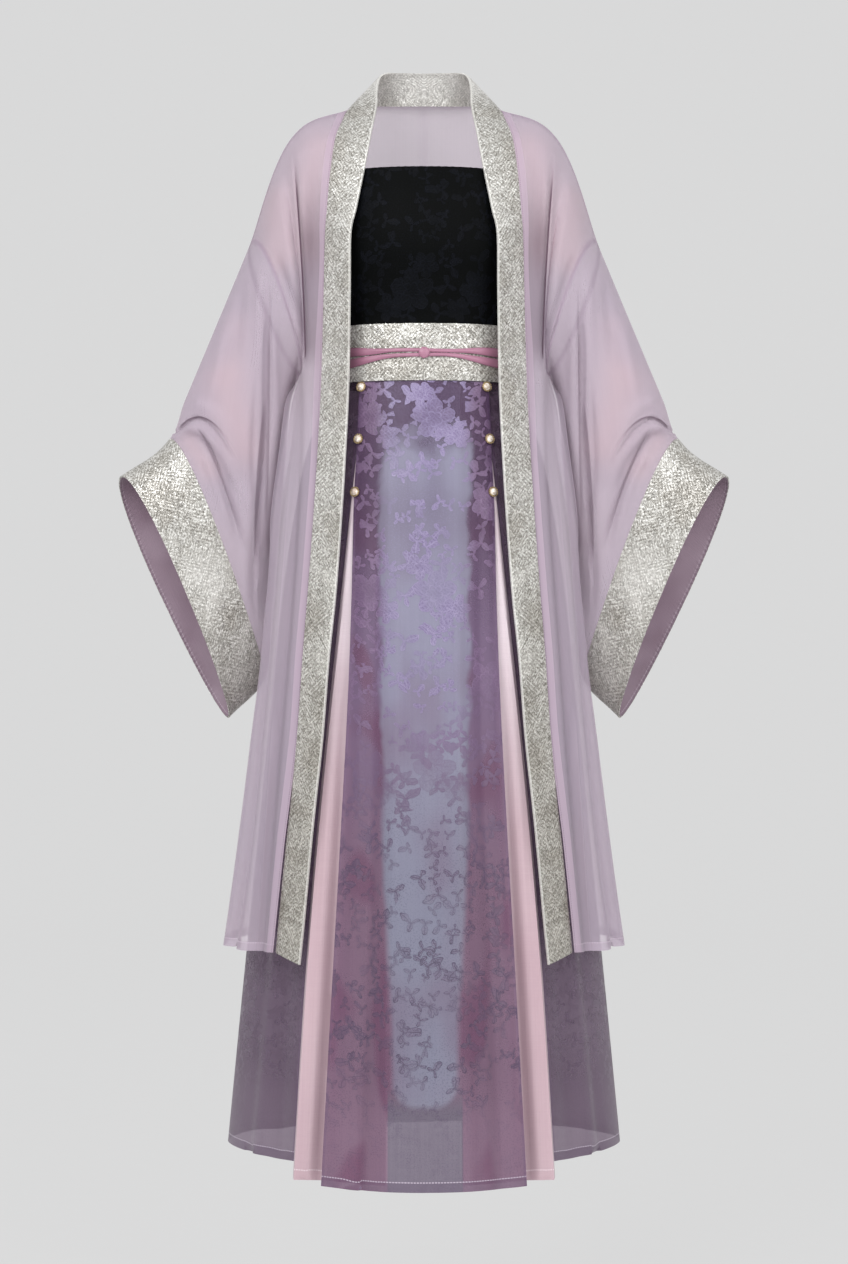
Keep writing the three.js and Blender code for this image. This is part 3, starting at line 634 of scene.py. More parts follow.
def leaves(cloth, x, y, cell, plenty):
    """Leaves strewn one to a cell, in groves: three lobes each, turned and sized in their own way."""
    cells = cloth.node("ShaderNodeTexVoronoi", Vector=cloth.vector(x / cell, y / cell), Scale=1.0,
                       Randomness=0.85)
    cells.voronoi_dimensions = "2D"
    place = cloth.node("ShaderNodeSeparateXYZ", Vector=cells.outputs["Position"])
    look = cloth.node("ShaderNodeSeparateColor", Color=cells.outputs["Color"])
    turn, size = Value(cloth.tree, look.outputs[0]) * 6.28, Value(cloth.tree, look.outputs[1])
    spread = cloth.node("ShaderNodeTexNoise", Vector=cells.outputs["Position"], Scale=cell * 0.021,
                        Detail=1.0)
    grows = Value(cloth.tree, spread.outputs[0]).ramp(plenty - 0.004, plenty + 0.004)
    u, v = turned(x / cell - Value(cloth.tree, place.outputs[0]),
                  y / cell - Value(cloth.tree, place.outputs[1]), turn)
    r = (u * u + v * v).op("SQRT")
    angle = v.op("ARCTAN2", u)
    lobes = (angle * 1.5).cos().abs()
    rim = r - ((lobes ** 2.2) * (size * 0.34 + 0.42) * (angle.cos() * 0.3 + 0.8) + 0.05)
    figure = rim.ramp(0.012, -0.012)
    rib = ((angle * 1.5).sin().abs() * r).ramp(0.045, 0.012)
    veins = ((r * 40.0 + lobes * 9.0).sin() * 0.5 + 0.5) ** 2.0
    lines = rim.abs().ramp(1.5 / cell, 0.5 / cell).larger(rib * 0.8).larger(veins * 0.3)
    figure = figure * grows
    return figure, lines * figure


def flowers(cloth, x, y, plenty=0.5, large=1.0):
    """The figure (1 on a flower or leaf) and its drawn lines at a place on the cloth; large is the
    share of the large flowers among the leaves."""
    jag = cloth.noise(cloth.vector(x * 0.12, y * 0.12, 3.0), 1.0) - 0.5
    x = x + jag * 6.0
    y = y + (cloth.noise(cloth.vector(x * 0.11, y * 0.11, 8.0), 1.0) - 0.5) * 6.0
    x = x + LANE_SHIFT
    odd = (x / REPEAT_WIDE).op("FLOOR").op("FLOORED_MODULO", 2.0)
    px = x.op("FLOORED_MODULO", REPEAT_WIDE)
    py = (y + odd * (REPEAT_HIGH / 2)).op("FLOORED_MODULO", REPEAT_HIGH)
    figure, lines = leaves(cloth, x, y, 28.0, plenty)
    small, drawn = leaves(cloth, x + lines * 1e-5 + 61.0, y, 19.0, plenty)
    figure, lines = figure.larger(small), lines.larger(drawn)
    for kind, cx, cy, turn, size in MOTIFS:
        node = cloth.tree.nodes.new("ShaderNodeGroup")
        node.node_tree = kind
        # a hair's breadth, so that the motifs are worked out one after another
        px, py = px + lines * 1e-5, py + lines * 1e-5
        for key, item in zip(("X", "Y", "CX", "CY", "Turn", "Size"), (px, py, cx, cy, turn, size)):
            cloth.set(node, key, item if isinstance(item, Value) else float(item))
        one, drawn = Value(cloth.tree, node.outputs[0]) * large, Value(cloth.tree, node.outputs[1]) * large
        lines = lines * (one * -1.0 + 1.0) + drawn
        figure = figure.larger(one)
    return figure, lines


def threads(cloth, x, y, warp=0.9, weft=0.9):
    """Uneven threads both ways: fine streaks of thicker yarn along and across."""
    up = cloth.noise(cloth.vector(x * warp, y * 0.004, 1.0), 1.0, 0.6)
    over = cloth.noise(cloth.vector(x * 0.02, y * weft, 7.0), 1.0, 0.6)
    return up * 0.65 + over * 0.35


def stitches(edge_up, along, place, length=3.2):
    """A row of stitches along a line at a distance from the edge."""
    dash = (along / length).op("FRACT").ramp(0.12, 0.2) * (along / length).op("FRACT").ramp(0.92, 0.84)
    return line_at(edge_up, place, 0.9) * dash


class Shade:
    """A crease's shade: a curve through three places (x, z), how far the shade reaches and to which side
    (+1 towards the middle), its strength, and how it fades in at its first and out at its last place.
    level says that the crease lies more across than along."""

    def __init__(self, places, reach, side, strength, fade=(30, 60), level=False):
        self.places, self.reach, self.side, self.strength = places, reach, side, strength
        self.fade, self.level = fade, level

    def read(self, x, z):
        px, pz = np.array(self.places, float).T
        run, place, at, to = (x, z, px, pz) if self.level else (z, x, pz, px)
        k2, k1, k0 = (float(k) for k in np.polyfit(at, to, 2))
        off = (place - ((run * k2 + k1) * run + k0)) * self.side
        way = 1 if at[-1] > at[0] else -1
        ends = run.ramp(at[0], at[0] + way * self.fade[0]) * run.ramp(at[-1], at[-1] - way * self.fade[1])
        return off.ramp(self.reach, 0.0) * off.ramp(-0.8, 0.4) * ends * self.strength


def crease_shades(c, shades):
    """All creases of a piece, read from where the cloth is; only its front side has them."""
    place = c.node("ShaderNodeSeparateXYZ", Vector=c.object_place(1000.0))
    x = Value(c.tree, place.outputs[0]).abs() * -1.0
    z = Value(c.tree, place.outputs[2])
    total = None
    for item in shades:
        shade = item.read(x, z)
        total = shade if total is None else total.larger(shade)
        x = x + total * 1e-5
    return total * Value(c.tree, place.outputs[1]).ramp(14.0, 6.0)


# ---------- materials ----------
def chiffon(name, seam_strip=0.0, hem=11.0, shades=()):
    """Sheer shot chiffon, lilac with a rose cast where it lies double."""
    c = Cloth(name)
    x, y = c.map("cut")
    side, low = c.map("edge")
    weave = threads(c, x, y, 0.5, 1.1)
    cloud = c.noise(c.object_place(5.0), 1.0)
    tuck, blush, seam = c.mark("tuck"), c.mark("blush"), c.mark("seam")
    colour = c.blend(cloud.ramp(0.35, 0.7), rgb(203, 192, 204), rgb(208, 196, 206))
    colour = c.blend(blush.clamp() * 0.75, colour, rgb(222, 200, 206))
    colour = c.blend(seam * 0.6, colour, rgb(182, 162, 180))
    # painted shade: creases and tucks turn the chiffon deep mauve; their extra cloth also adds opacity below
    colour = c.blend(tuck, colour, rgb(78, 52, 70))
    colour = c.blend(c.mark("glint"), colour, rgb(226, 216, 226))
    opacity = (weave - 0.5) * 0.035 + 0.36
    extra = (tuck * 0.55).larger(seam * 0.25)
    if shades:
        drawn = crease_shades(c, shades)
        colour = c.blend(drawn, colour, rgb(92, 62, 82))
        extra = extra.larger(drawn * 0.62)
    if hem:
        turned_up = low.ramp(hem + 0.4, hem - 0.4)
        extra = extra.larger(turned_up * 0.2)
        row_of = stitches(low, x, hem - 1.0)
        colour = c.blend(turned_up * 0.5, colour, rgb(192, 174, 190))
        colour = c.blend(row_of * 0.6, colour, rgb(226, 212, 222))
        extra = extra.larger(row_of * 0.4)
    if seam_strip:
        place = c.node("ShaderNodeSeparateXYZ", Vector=c.object_place())
        lower = Value(c.tree, place.outputs[2]).ramp(-0.35, -0.42)
        colour = c.blend(lower * 0.4, colour, rgb(224, 212, 226))
        opacity = opacity + lower * 0.02
        inner = x.ramp(0.0, -5.0)
        strip = side.ramp(seam_strip + 0.5, seam_strip - 0.5) * inner
        sewn = stitches(side, y, 1.8, 2.8) * inner
        colour = c.blend(strip * 0.7, colour, rgb(204, 184, 200))
        colour = c.blend(sewn * 0.5, colour, rgb(150, 128, 146))
        extra = extra.larger(strip * 0.3)
    opacity = (opacity + extra).clamp()
    normal = c.bump(weave, 0.0003, 0.1)
    body = c.node("ShaderNodeBsdfPrincipled", Base_Color=colour, Roughness=0.62, Normal=normal)
    body.inputs["Sheen Weight"].default_value = 0.2
    body.inputs["Sheen Roughness"].default_value = 0.5
    body.inputs["Specular IOR Level"].default_value = 0.3
    glow = c.node("ShaderNodeBsdfTranslucent", Color=colour)
    lit = c.tree.nodes.new("ShaderNodeMixShader")
    lit.inputs[0].default_value = 0.3
    c.tree.links.new(body.outputs[0], lit.inputs[1])
    c.tree.links.new(glow.outputs[0], lit.inputs[2])
    return c.finish(c.sheer(lit.outputs[0], opacity, rgb(254, 251, 253)))


def brocade(name):
    """Silver brocade: short bright metal threads in slanting ridges that change direction in patches."""
    c = Cloth(name)
    x, y = c.map("cut")
    side, _ = c.map("edge")
    lay = c.noise(c.vector(x * 0.05, y * 0.05, 5.0), 1.0).ramp(0.495, 0.505)
    across = x * 0.7 + y * (lay * 1.4 - 0.7)
    along = x * 0.7 - y * (lay * 1.4 - 0.7)
    ridges = (across * 1.7).sin() * 0.5 + 0.5
    maze = c.noise(c.vector(across * 0.55, along * 0.3, 6.0), 1.0)
    gaps = (maze - 0.5).abs().ramp(0.055, 0.012)
    beads = c.node("ShaderNodeTexVoronoi", Vector=c.vector(x * 0.42, y * 0.42), Scale=1.0)
    bead = Value(c.tree, c.node("ShaderNodeSeparateColor", Color=beads.outputs["Color"]).outputs[0])
    mixed = bead * 0.42 + ridges * 0.2 + 0.34 - gaps * 0.4
    broad = c.noise(c.vector(x * 0.018, y * 0.018, 2.0), 1.0)
    # height, used below for painted shade and painted light
    painted_light_height = Value(c.tree, c.node("ShaderNodeSeparateXYZ", Vector=c.object_place()).outputs[2])
    colour = c.blend(mixed.ramp(0.1, 0.5), rgb(112, 108, 100), rgb(176, 173, 166))
    colour = c.blend(mixed.ramp(0.5, 0.92), colour, rgb(238, 237, 232))
    colour = c.blend(broad.ramp(0.45, 0.7) * 0.45, colour, rgb(200, 194, 186), "MULTIPLY")
    colour = c.blend(broad.ramp(0.42, 0.26) * 0.2, colour, rgb(246, 244, 238))
    # painted shade: darker lower down, on the cuffs
    colour = c.blend(painted_light_height.ramp(-0.45, -1.05) * 0.6, colour, rgb(212, 207, 200), "MULTIPLY")
    # painted light: lighter near the top, on the collar's back inside the neck
    colour = c.blend(painted_light_height.ramp(0.0, 0.04) * 0.45, colour, rgb(244, 242, 238))
    colour = c.blend(c.mark("glint") * 0.34, colour, rgb(250, 248, 243))
    piping = side.ramp(2.2, 1.2) * x.ramp(0.0, 5.0) * c.mark("piped")
    colour = c.blend(piping * 0.7, colour, rgb(236, 234, 228))
    dome = Value(c.tree, beads.outputs["Distance"])
    normal = c.bump(dome * -0.5 + ridges * 0.3 - gaps * 0.9, 0.0007, 0.7)
    rough = mixed.ramp(0.3, 0.8, (0.58, 0.34))
    body = c.node("ShaderNodeBsdfPrincipled", Base_Color=colour, Roughness=rough, Normal=normal)
    body.inputs["Metallic"].default_value = 0.4
    body.inputs["Specular IOR Level"].default_value = 0.6
    return c.finish(body.outputs[0])


def plain_dye(ground, shade, figure_colour, line_colour, large=1.0, upper=None):
    """A ground colour with its clouded shade, one colour each for figure and lines, and maybe a
    deeper ground near the waist."""
    def dye(c, x, y):
        cloud = c.noise(c.object_place(6.0), 1.0)
        under = c.blend(cloud.ramp(0.3, 0.7), ground, shade)
        if upper:
            under = c.blend(y.ramp(680, 900), under, upper)
        return under, figure_colour, line_colour, large
    return dye


def panel_dye(c, x, y):
    """The front panel's colours: blue grey over the pale lining, mauve over the pleats beside it and
    purple above, with plum clouds, and flowers that are lilac above and dusky below."""
    wander = (c.noise(c.vector(x * 0.03, y * 0.022, 6.0), 2.0) - 0.5) * 16.0
    high = y.ramp(330, 640)
    half = y * 0.0103 + LINING_HALF_HEM - 1 + y.ramp(150, 420) * 11.0
    beside = (x.abs() + wander * (high * 1.1 + 0.3) - half + LINING_CORNER).op("MAXIMUM", 0.0)
    below = (y * -1.0 + (LINING_HEM_Z - SKIRT_HEM_Z + LINING_CORNER)).op("MAXIMUM", 0.0)
    reach = (beside * beside + below * below).op("SQRT")
    lined = reach.ramp(LINING_CORNER + 5.0, LINING_CORNER - 5.0) * (y + wander * 5.0).ramp(930, 880)
    cloud = c.noise(c.vector(x * 0.016, y * 0.008, 4.0), 1.0)
    ground = c.blend(high, rgb(128, 100, 120), rgb(122, 101, 130))
    ground = c.blend(cloud.ramp(0.48, 0.62) * 0.8, ground, rgb(112, 72, 98))
    ground = c.blend(x.abs().ramp(PLEAT_INNER_X + 1, PLEAT_INNER_X - 2) * y.ramp(130, 90),
                     ground, rgb(106, 97, 112))
    ground = c.blend(y.ramp(620, 880), ground, rgb(72, 48, 78))
    pale = c.blend(high, rgb(137, 140, 158), rgb(152, 152, 172))
    ground = c.blend(lined * (cloud.ramp(0.35, 0.75) * -0.4 + 1.0), ground, pale)
    centre = x.abs().ramp(66, 40) * y.ramp(480, 620)
    bloom = (x - 14.0).abs().ramp(52, 30) * y.ramp(800, 850)
    dusk = c.blend(centre, rgb(104, 80, 112), rgb(116, 101, 138))
    figure_colour = c.blend(high, rgb(96, 78, 102), c.blend(bloom, dusk, rgb(128, 112, 152)))
    line_colour = c.blend(high, rgb(62, 52, 76), c.blend(centre, rgb(138, 113, 144), rgb(164, 154, 188)))
    return ground, figure_colour, line_colour, high


def jacquard(name, dye, opacity=1.0, roughness=0.42, sheen=0.15, specular=0.35, plenty=0.47, stitched=True):
    """Figured satin with woven flowers; where it is sheer, the flowers are denser than the ground."""
    c = Cloth(name)
    x, y = c.map("cut")
    side, low = c.map("edge")
    ground, figure_colour, line_colour, large = dye(c, x, y)
    filled = large * 0.38 + 0.42
    figure, lines = flowers(c, x, y, plenty, large)
    if opacity < 1.0:
        bare = y.ramp(50, 150, (0.15, 1.0))  # the sheer panels are almost plain near the hem
        figure, lines = figure * bare, lines * bare
    weave = threads(c, x, y, 0.42, 0.5)
    speck = c.noise(c.vector(x * 0.55, y * 0.55, 4.0), 1.0).ramp(0.52, 0.66)
    fade = c.noise(c.vector(x * 0.02, y * 0.02, 9.0), 1.0).ramp(0.36, 0.58, (0.6, 1.0))
    hatch = (((x + y) * 1.15).sin() * 0.5 + 0.5) * figure * filled * 0.6
    colour = c.blend(figure * fade * (filled + 0.1), ground, figure_colour)
    drawn = lines.larger(hatch).larger(speck * (figure * 0.5 + fade * 0.3))
    colour = c.blend(drawn * fade * 0.9, colour, line_colour)
    colour = c.blend(weave.ramp(0.4, 0.62) * 0.2, colour, rgb(206, 198, 212), "MULTIPLY")
    tuck = c.mark("tuck")
    # painted shade: creases and tucks darken the figured cloth
    colour = c.blend(tuck * 0.8, colour, rgb(48, 28, 46))
    hem = low.ramp(12.6, 11.8)
    selvedge = side.ramp(4.2, 3.4)
    if stitched:
        row_of = stitches(low, x, 11.4, 3.6)
        colour = c.blend(hem * 0.35, colour, rgb(86, 66, 92))
        colour = c.blend(row_of * 0.7, colour, rgb(206, 194, 208))
        colour = c.blend(selvedge * 0.3, colour, rgb(92, 70, 100))
    normal = c.bump(figure * 0.7 + lines * 0.5 + weave * 0.5, 0.0006, 0.6)
    rough = figure.ramp(0.0, 1.0, (roughness, roughness - 0.12))
    body = c.node("ShaderNodeBsdfPrincipled", Base_Color=colour, Roughness=rough, Normal=normal)
    body.inputs["Sheen Weight"].default_value = sheen
    body.inputs["Specular IOR Level"].default_value = specular
    if opacity == 1.0:
        return c.finish(body.outputs[0])
    solid = (weave - 0.5) * 0.15 + opacity + figure * fade * 0.2 + low.ramp(150.0, 60.0) * 0.2
    solid = solid.larger(hem * 0.8).larger(selvedge * 0.8).larger(row_of * 0.9).larger(tuck * 0.9)
    return c.finish(c.sheer(body.outputs[0], solid.clamp(), rgb(242, 236, 243)))


def jacquard_back(name, colour, opacity):
    """The plain wrong side of the sheer figured cloth."""
    c = Cloth(name)
    x, y = c.map("cut")
    _, low = c.map("edge")
    weave = threads(c, x, y, 0.42, 0.5)
    base = c.blend(weave.ramp(0.4, 0.62) * 0.3, colour, rgb(206, 198, 212), "MULTIPLY")
    hem = low.ramp(12.6, 11.8)
    body = c.node("ShaderNodeBsdfPrincipled", Base_Color=base, Roughness=0.5)
    body.inputs["Specular IOR Level"].default_value = 0.3
    solid = ((weave - 0.5) * 0.1 + opacity).larger(hem * 0.6)
    return c.finish(c.sheer(body.outputs[0], solid.clamp(), rgb(244, 238, 245)))


def satin(name, colour, deep, roughness=0.36, streak=0.25, stitched=True, upper=None):
    """Smooth satin: fine warp streaks, soft cloudy shade, painted shade in creases and where it is covered,
    painted light towards its top where asked, and, when stitched, a stitched hem and painted highlights
    along its side edges.
    """
    c = Cloth(name)
    x, y = c.map("cut")
    side, low = c.map("edge")
    weave = threads(c, x, y, 1.3, 1.0)
    cloud = c.noise(c.object_place(4.0), 2.0)
    # painted light: where given, the satin is drawn lighter towards its top, which lies in shade between the
    # panels
    if upper:
        colour = c.blend(y.ramp(380, 760), colour, upper)
    base = c.blend(cloud.ramp(0.3, 0.72) * 0.5, colour, deep)
    base = c.blend((weave - 0.4).ramp(0.0, 0.25) * streak, base, rgb(225, 215, 222), "MULTIPLY")
    # painted shade: creases and tucks deepen the satin's colour
    base = c.blend(c.mark("tuck") * 0.8, base, deep)
    # painted shade: dark mauve where the satin lies behind the front panel
    base = c.blend(c.mark("painted_shade_behind_panel"), base, rgb(128, 88, 114))
    if stitched:
        hem_line = line_at(low, 12.0, 0.9)
        base = c.blend(hem_line * 0.35, base, deep)
        base = c.blend(stitches(low, x, 12.0) * 0.6, base, rgb(236, 224, 228))
        # painted highlight: a lighter line along both side edges, where the satin folds round
        base = c.blend(side.ramp(1.6, 0.8) * 0.4, base, rgb(236, 214, 220))
    normal = c.bump(weave, 0.0005, 0.4)
    body = c.node("ShaderNodeBsdfPrincipled", Base_Color=base, Roughness=roughness, Normal=normal)
    body.inputs["Sheen Weight"].default_value = 0.15
    body.inputs["Specular IOR Level"].default_value = 0.5
    return c.finish(body.outputs[0])


def facing_cloth(name):
    """The plain mauve facing of the cuffs, with a stitched and slightly puckered edge."""
    c = Cloth(name)
    x, y = c.map("cut")
    _, low = c.map("edge")
    weave = threads(c, x, y, 1.0, 1.0)
    cloud = c.noise(c.object_place(12.0), 2.0)
    base = c.blend(cloud.ramp(0.3, 0.7), rgb(150, 130, 143), rgb(128, 106, 120))
    base = c.blend(low.ramp(4.4, 3.8) * 0.4, base, rgb(112, 92, 106))
    base = c.blend(stitches(low, x, 3.6, 3.4) * 0.5, base, rgb(190, 172, 184))
    pucker = (x * 0.95).sin() * low.ramp(9.0, 1.0)
    normal = c.bump(pucker * 0.6 + weave, 0.0007, 0.6)
    body = c.node("ShaderNodeBsdfPrincipled", Base_Color=base, Roughness=0.5, Normal=normal)
    body.inputs["Sheen Weight"].default_value = 0.2
    return c.finish(body.outputs[0])


def metal(name, colour, roughness):
    c = Cloth(name)
    grain = c.noise(c.object_place(900.0), 3.0)
    dull = c.noise(c.object_place(260.0), 2.0).ramp(0.35, 0.7)
    base = c.blend(dull * 0.6, colour, rgb(120, 98, 72))
    body = c.node("ShaderNodeBsdfPrincipled", Base_Color=base,
                  Roughness=grain.ramp(0.3, 0.7, (roughness, roughness + 0.15)),
                  Normal=c.bump(grain, 0.0002, 0.3))
    body.inputs["Metallic"].default_value = 0.9
    return c.finish(body.outputs[0])


def pearl(name):
    """A pale cut stone: milky, glossy, with cloudy facets."""
    c = Cloth(name)
    facets = c.node("ShaderNodeTexVoronoi", Vector=c.object_place(420.0), Scale=1.0)
    value = Value(c.tree, c.node("ShaderNodeSeparateColor", Color=facets.outputs["Color"]).outputs[0])
    base = c.blend(value.ramp(0.1, 0.9), rgb(196, 176, 158), rgb(252, 246, 236))
    body = c.node("ShaderNodeBsdfPrincipled", Base_Color=base, Roughness=0.16,
                  Normal=c.bump(value, 0.0006, 0.5))
    body.inputs["Coat Weight"].default_value = 0.6
    body.inputs["Coat Roughness"].default_value = 0.08
    return c.finish(body.outputs[0])


FRONT_SHADES = (
    Shade([(-164, -66), (-153.5, -200), (-149.5, -326)], 4.5, 1, 1.0, (60, 8)),
    Shade([(-156, -110), (-149, -240), (-148, -350)], 56, 1, 0.5, (70, 50)),
    Shade([(-186, -740), (-196, -910), (-207, -1062)], 16, 1, 0.7, (120, 1)),
    Shade([(-166, -440), (-184, -700), (-208, -960)], 5, 1, 0.16, (120, 140)),
)
SLEEVE_SHADES = (
    Shade([(-192.6, -246), (-193.8, -349), (-201.5, -590)], 8, -1, 0.5, (70, 90)),
    Shade([(-197, -346), (-208, -431), (-215, -600)], 14, 1, 0.5, (60, 60)),
    Shade([(-152, -296), (-173, -394), (-200, -600)], 15, -1, 0.6, (70, 70)),
    Shade([(-310, -404), (-285, -392.5), (-230, -452)], 6, -1, 0.75, (2, 44), True),
    Shade([(-286.4, -403), (-256, -470), (-226, -570)], 12, 1, 0.42, (14, 60)),
)
CHIFFON = chiffon("lilac_chiffon")
CHIFFON_FRONT = chiffon("lilac_chiffon_front", seam_strip=11.0, shades=FRONT_SHADES)
CHIFFON_SLEEVE = chiffon("lilac_chiffon_sleeve", hem=0.0, shades=SLEEVE_SHADES)
BROCADE = brocade("silver_brocade_cloth")
FACING = facing_cloth("mauve_facing")
BLACK = jacquard("black_jacquard_satin",
                 plain_dye(rgb(8, 9, 9), rgb(5, 6, 6), rgb(11, 12, 14), rgb(18, 20, 26)),
                 roughness=0.6, sheen=0.0, specular=0.04, plenty=0.48, stitched=False)
PURPLE = jacquard("purple_jacquard_sheer", panel_dye, 0.62)
PURPLE_BACK = jacquard_back("purple_jacquard_back", rgb(120, 98, 126), 0.5)
DARK = jacquard("dark_jacquard_sheer",
                plain_dye(rgb(122, 106, 122), rgb(108, 90, 108), rgb(112, 94, 114), rgb(80, 64, 84), 0.0,
                          rgb(72, 54, 72)), 0.5)
DARK_BACK = jacquard_back("dark_jacquard_back", rgb(104, 88, 106), 0.42)
# the pink's top is drawn lighter: painted light against the shade between the skirt panels
PINK = satin("pink_satin_cloth", rgb(190, 164, 171), rgb(172, 140, 150), upper=rgb(255, 240, 246))
LINING = satin("lining_satin", rgb(206, 216, 232), rgb(176, 184, 206), 0.3, stitched=False)
RIBBON = satin("pink_ribbon", rgb(168, 116, 138), rgb(112, 68, 90), 0.36, stitched=False)
GOLD = metal("pale_gold_setting", rgb(206, 184, 140), 0.24)
STONE = pearl("milky_stone")


# ---------- robe ----------
def front_grid(side):
    u, t = row(0, 1, 98), column(0, 1, 76)
    upper = patch(
        shoulder,
        lambda a: front_section(np.full_like(a, ARMPIT_Z), a),
        lambda a: band(mix(NECK_POINT, band_station(ARMPIT_Z), a))[1],
        lambda a: sleeve_point(0 * a, 180 * a),
        1, 1, u, t,
    )
    crease = CREASE(t)
    upper[..., 1] += crease.depth * np.exp(-(((u - crease.u) / 0.1) ** 2))
    z = column(ARMPIT_Z, ROBE_HEM_Z, 136)[1:]
    lower = front_section(z + 0 * u, u + 0 * z)
    swell = np.clip((ARMPIT_Z - z) / (ARMPIT_Z - ROBE_HEM_Z), 0, 1)
    out = sum(d * np.exp(-(((u - p) / w) ** 2)) for p, d, w in FRONT_FOLDS)
    lower -= points(out * swell * 0.7, out * swell * 0.7, 0 * out * swell)
    overlap = 4 * np.exp(-(((z + 440) / 110) ** 4)) * u**5
    lower -= points(overlap, overlap * 1.2, 0 * overlap)
    return mirror_if(np.concatenate([upper, lower]), side)


FRONT_CREASES = (
    Fold([(-166, -50), (-159, -120), (-153, -203), (-150, -281), (-150, -330)],
         (-3, -5), (5, 6), 0, 0.0, (0.25, 0.05), sharp=1.4, soft=-1),
    Fold([(-174, -75), (-168, -150), (-163, -240), (-160, -320)], (3, 4), (6, 7), 0, 0, (0.3, 0.2)),
    Fold([(-134, -36), (-138, -90), (-139, -170), (-139, -250)],
         (-3, -4), (9, 10), 1.0, 0.24, (0.5, 0.3), sharp=0.8),
    Fold([(-146, -60), (-150, -120), (-146, -200), (-144, -300), (-146, -420)], (3, 6), (8, 8), 0, 0),
    Fold([(-140, -260), (-143, -400), (-152, -560), (-164, -760), (-190, -1060)],
         (3, 7), (6, 11), 1.5, 0, (0.2, 0.0)),
    Fold([(-150, -330), (-156, -470), (-168, -640), (-184, -840), (-204, -1060)],
         (-2, -7), (4, 10), 2.0, 0.1, (0.4, 0.0)),
    Fold([(-164, -350), (-174, -500), (-188, -700), (-206, -900), (-228, -1060)],
         (4, 6), (6, 12), 0, 0, (0.2, 0.0)),
    Fold([(-172, -430), (-184, -560), (-200, -760), (-219, -950), (-238, -1060)],
         (-3, -5), (4, 7), 1.0, 0.1, (0.3, 0.0)),
    Fold([(-134, -360), (-140, -520), (-152, -700), (-168, -900)], (-2, -3), (4, 6), 1.0, 0.05),
    Fold([(-168, -345), (-177, -430), (-190, -530), (-199, -620)], (5, 4), (9, 9), 0, 0, (0.1, 0.4)),
)
FRONT_BLUSH = (([(-130, -60), (-146, -130), (-150, -180)], 30, 1.0), ([(-190, -120), (-186, -200)], 20, 0.8))


def near_edge(distance, reach=4.5):
    return ease((reach + 1.5 - distance) / 3)


def blushes(grid, side, places):
    total = np.zeros(grid.shape[:2])
    for path, reach, strength in places:
        distance, _ = near_path(grid[..., 0] * side, grid[..., 2], path)
        total += strength * np.exp(-((distance / reach) ** 2))
    return np.clip(total, 0, 1)


def robe_front(side, name):
    grid = front_grid(side)
    grid, tuck = add_folds(grid, sheet_normals(grid, False), FRONT_CREASES, side, 11 + side)
    across = lengths(grid, 1)
    rim = across[:, -1:] - across
    below_arm = ease((ARMPIT_Z + 30 - grid[..., 2]) / 40)
    glint = ease((5.0 - rim) / 3) * below_arm * 0.55
    seam = np.maximum(near_edge(rim) * (1 - below_arm), near_edge(lengths(grid, 0)))
    marks = {"tuck": tuck, "blush": blushes(grid, side, FRONT_BLUSH), "seam": seam, "glint": glint}
    return shell(name + "_cloth", grid, 0.8, CHIFFON_FRONT, [name], marks=marks)


BACK_CREASES = (
    Fold([(0, -40), (2, -160), (-4, -300)], (-3, -2), (16, 22), 0, 0, back=True),
    Fold([(-196, -160), (-168, -240), (-150, -330)], (-6, -8), (6, 6), 3.0, 0.6, back=True),
    Fold([(196, -160), (170, -245), (152, -330)], (-6, -8), (6, 6), -3.0, 0.6, back=True),
    Fold([(-150, -180), (-120, -280), (-112, -420), (-120, -640)], (4, 4), (12, 14), 2.0, 0, back=True),
    Fold([(148, -190), (118, -290), (108, -430), (112, -610)], (4, 4), (12, 14), -2.0, 0, back=True),
    Fold([(-60, -150), (-66, -300), (-78, -600), (-96, -1060)], (2, 8), (12, 16), 2.0, 0, (0.3, 0.0), True),
    Fold([(30, -170), (34, -400), (40, -700), (52, -1060)], (-2, -9), (9, 14), 2.0, 0.06, (0.3, 0.0), True),
    Fold([(-20, -260), (-24, -500), (-30, -800), (-34, -1060)],
         (-2, -7), (8, 12), 1.0, 0.06, (0.3, 0.0), True),
    Fold([(92, -260), (104, -500), (124, -800), (146, -1060)], (3, 7), (9, 15), 1.0, 0, (0.3, 0.0), True),
    Fold([(-140, -420), (-156, -640), (-176, -860), (-196, -1060)],
         (-3, -9), (8, 12), 2.0, 0.08, (0.3, 0.0), True),
    Fold([(150, -400), (166, -620), (188, -860), (208, -1060)],
         (-3, -8), (8, 12), 2.0, 0.08, (0.3, 0.0), True),
)


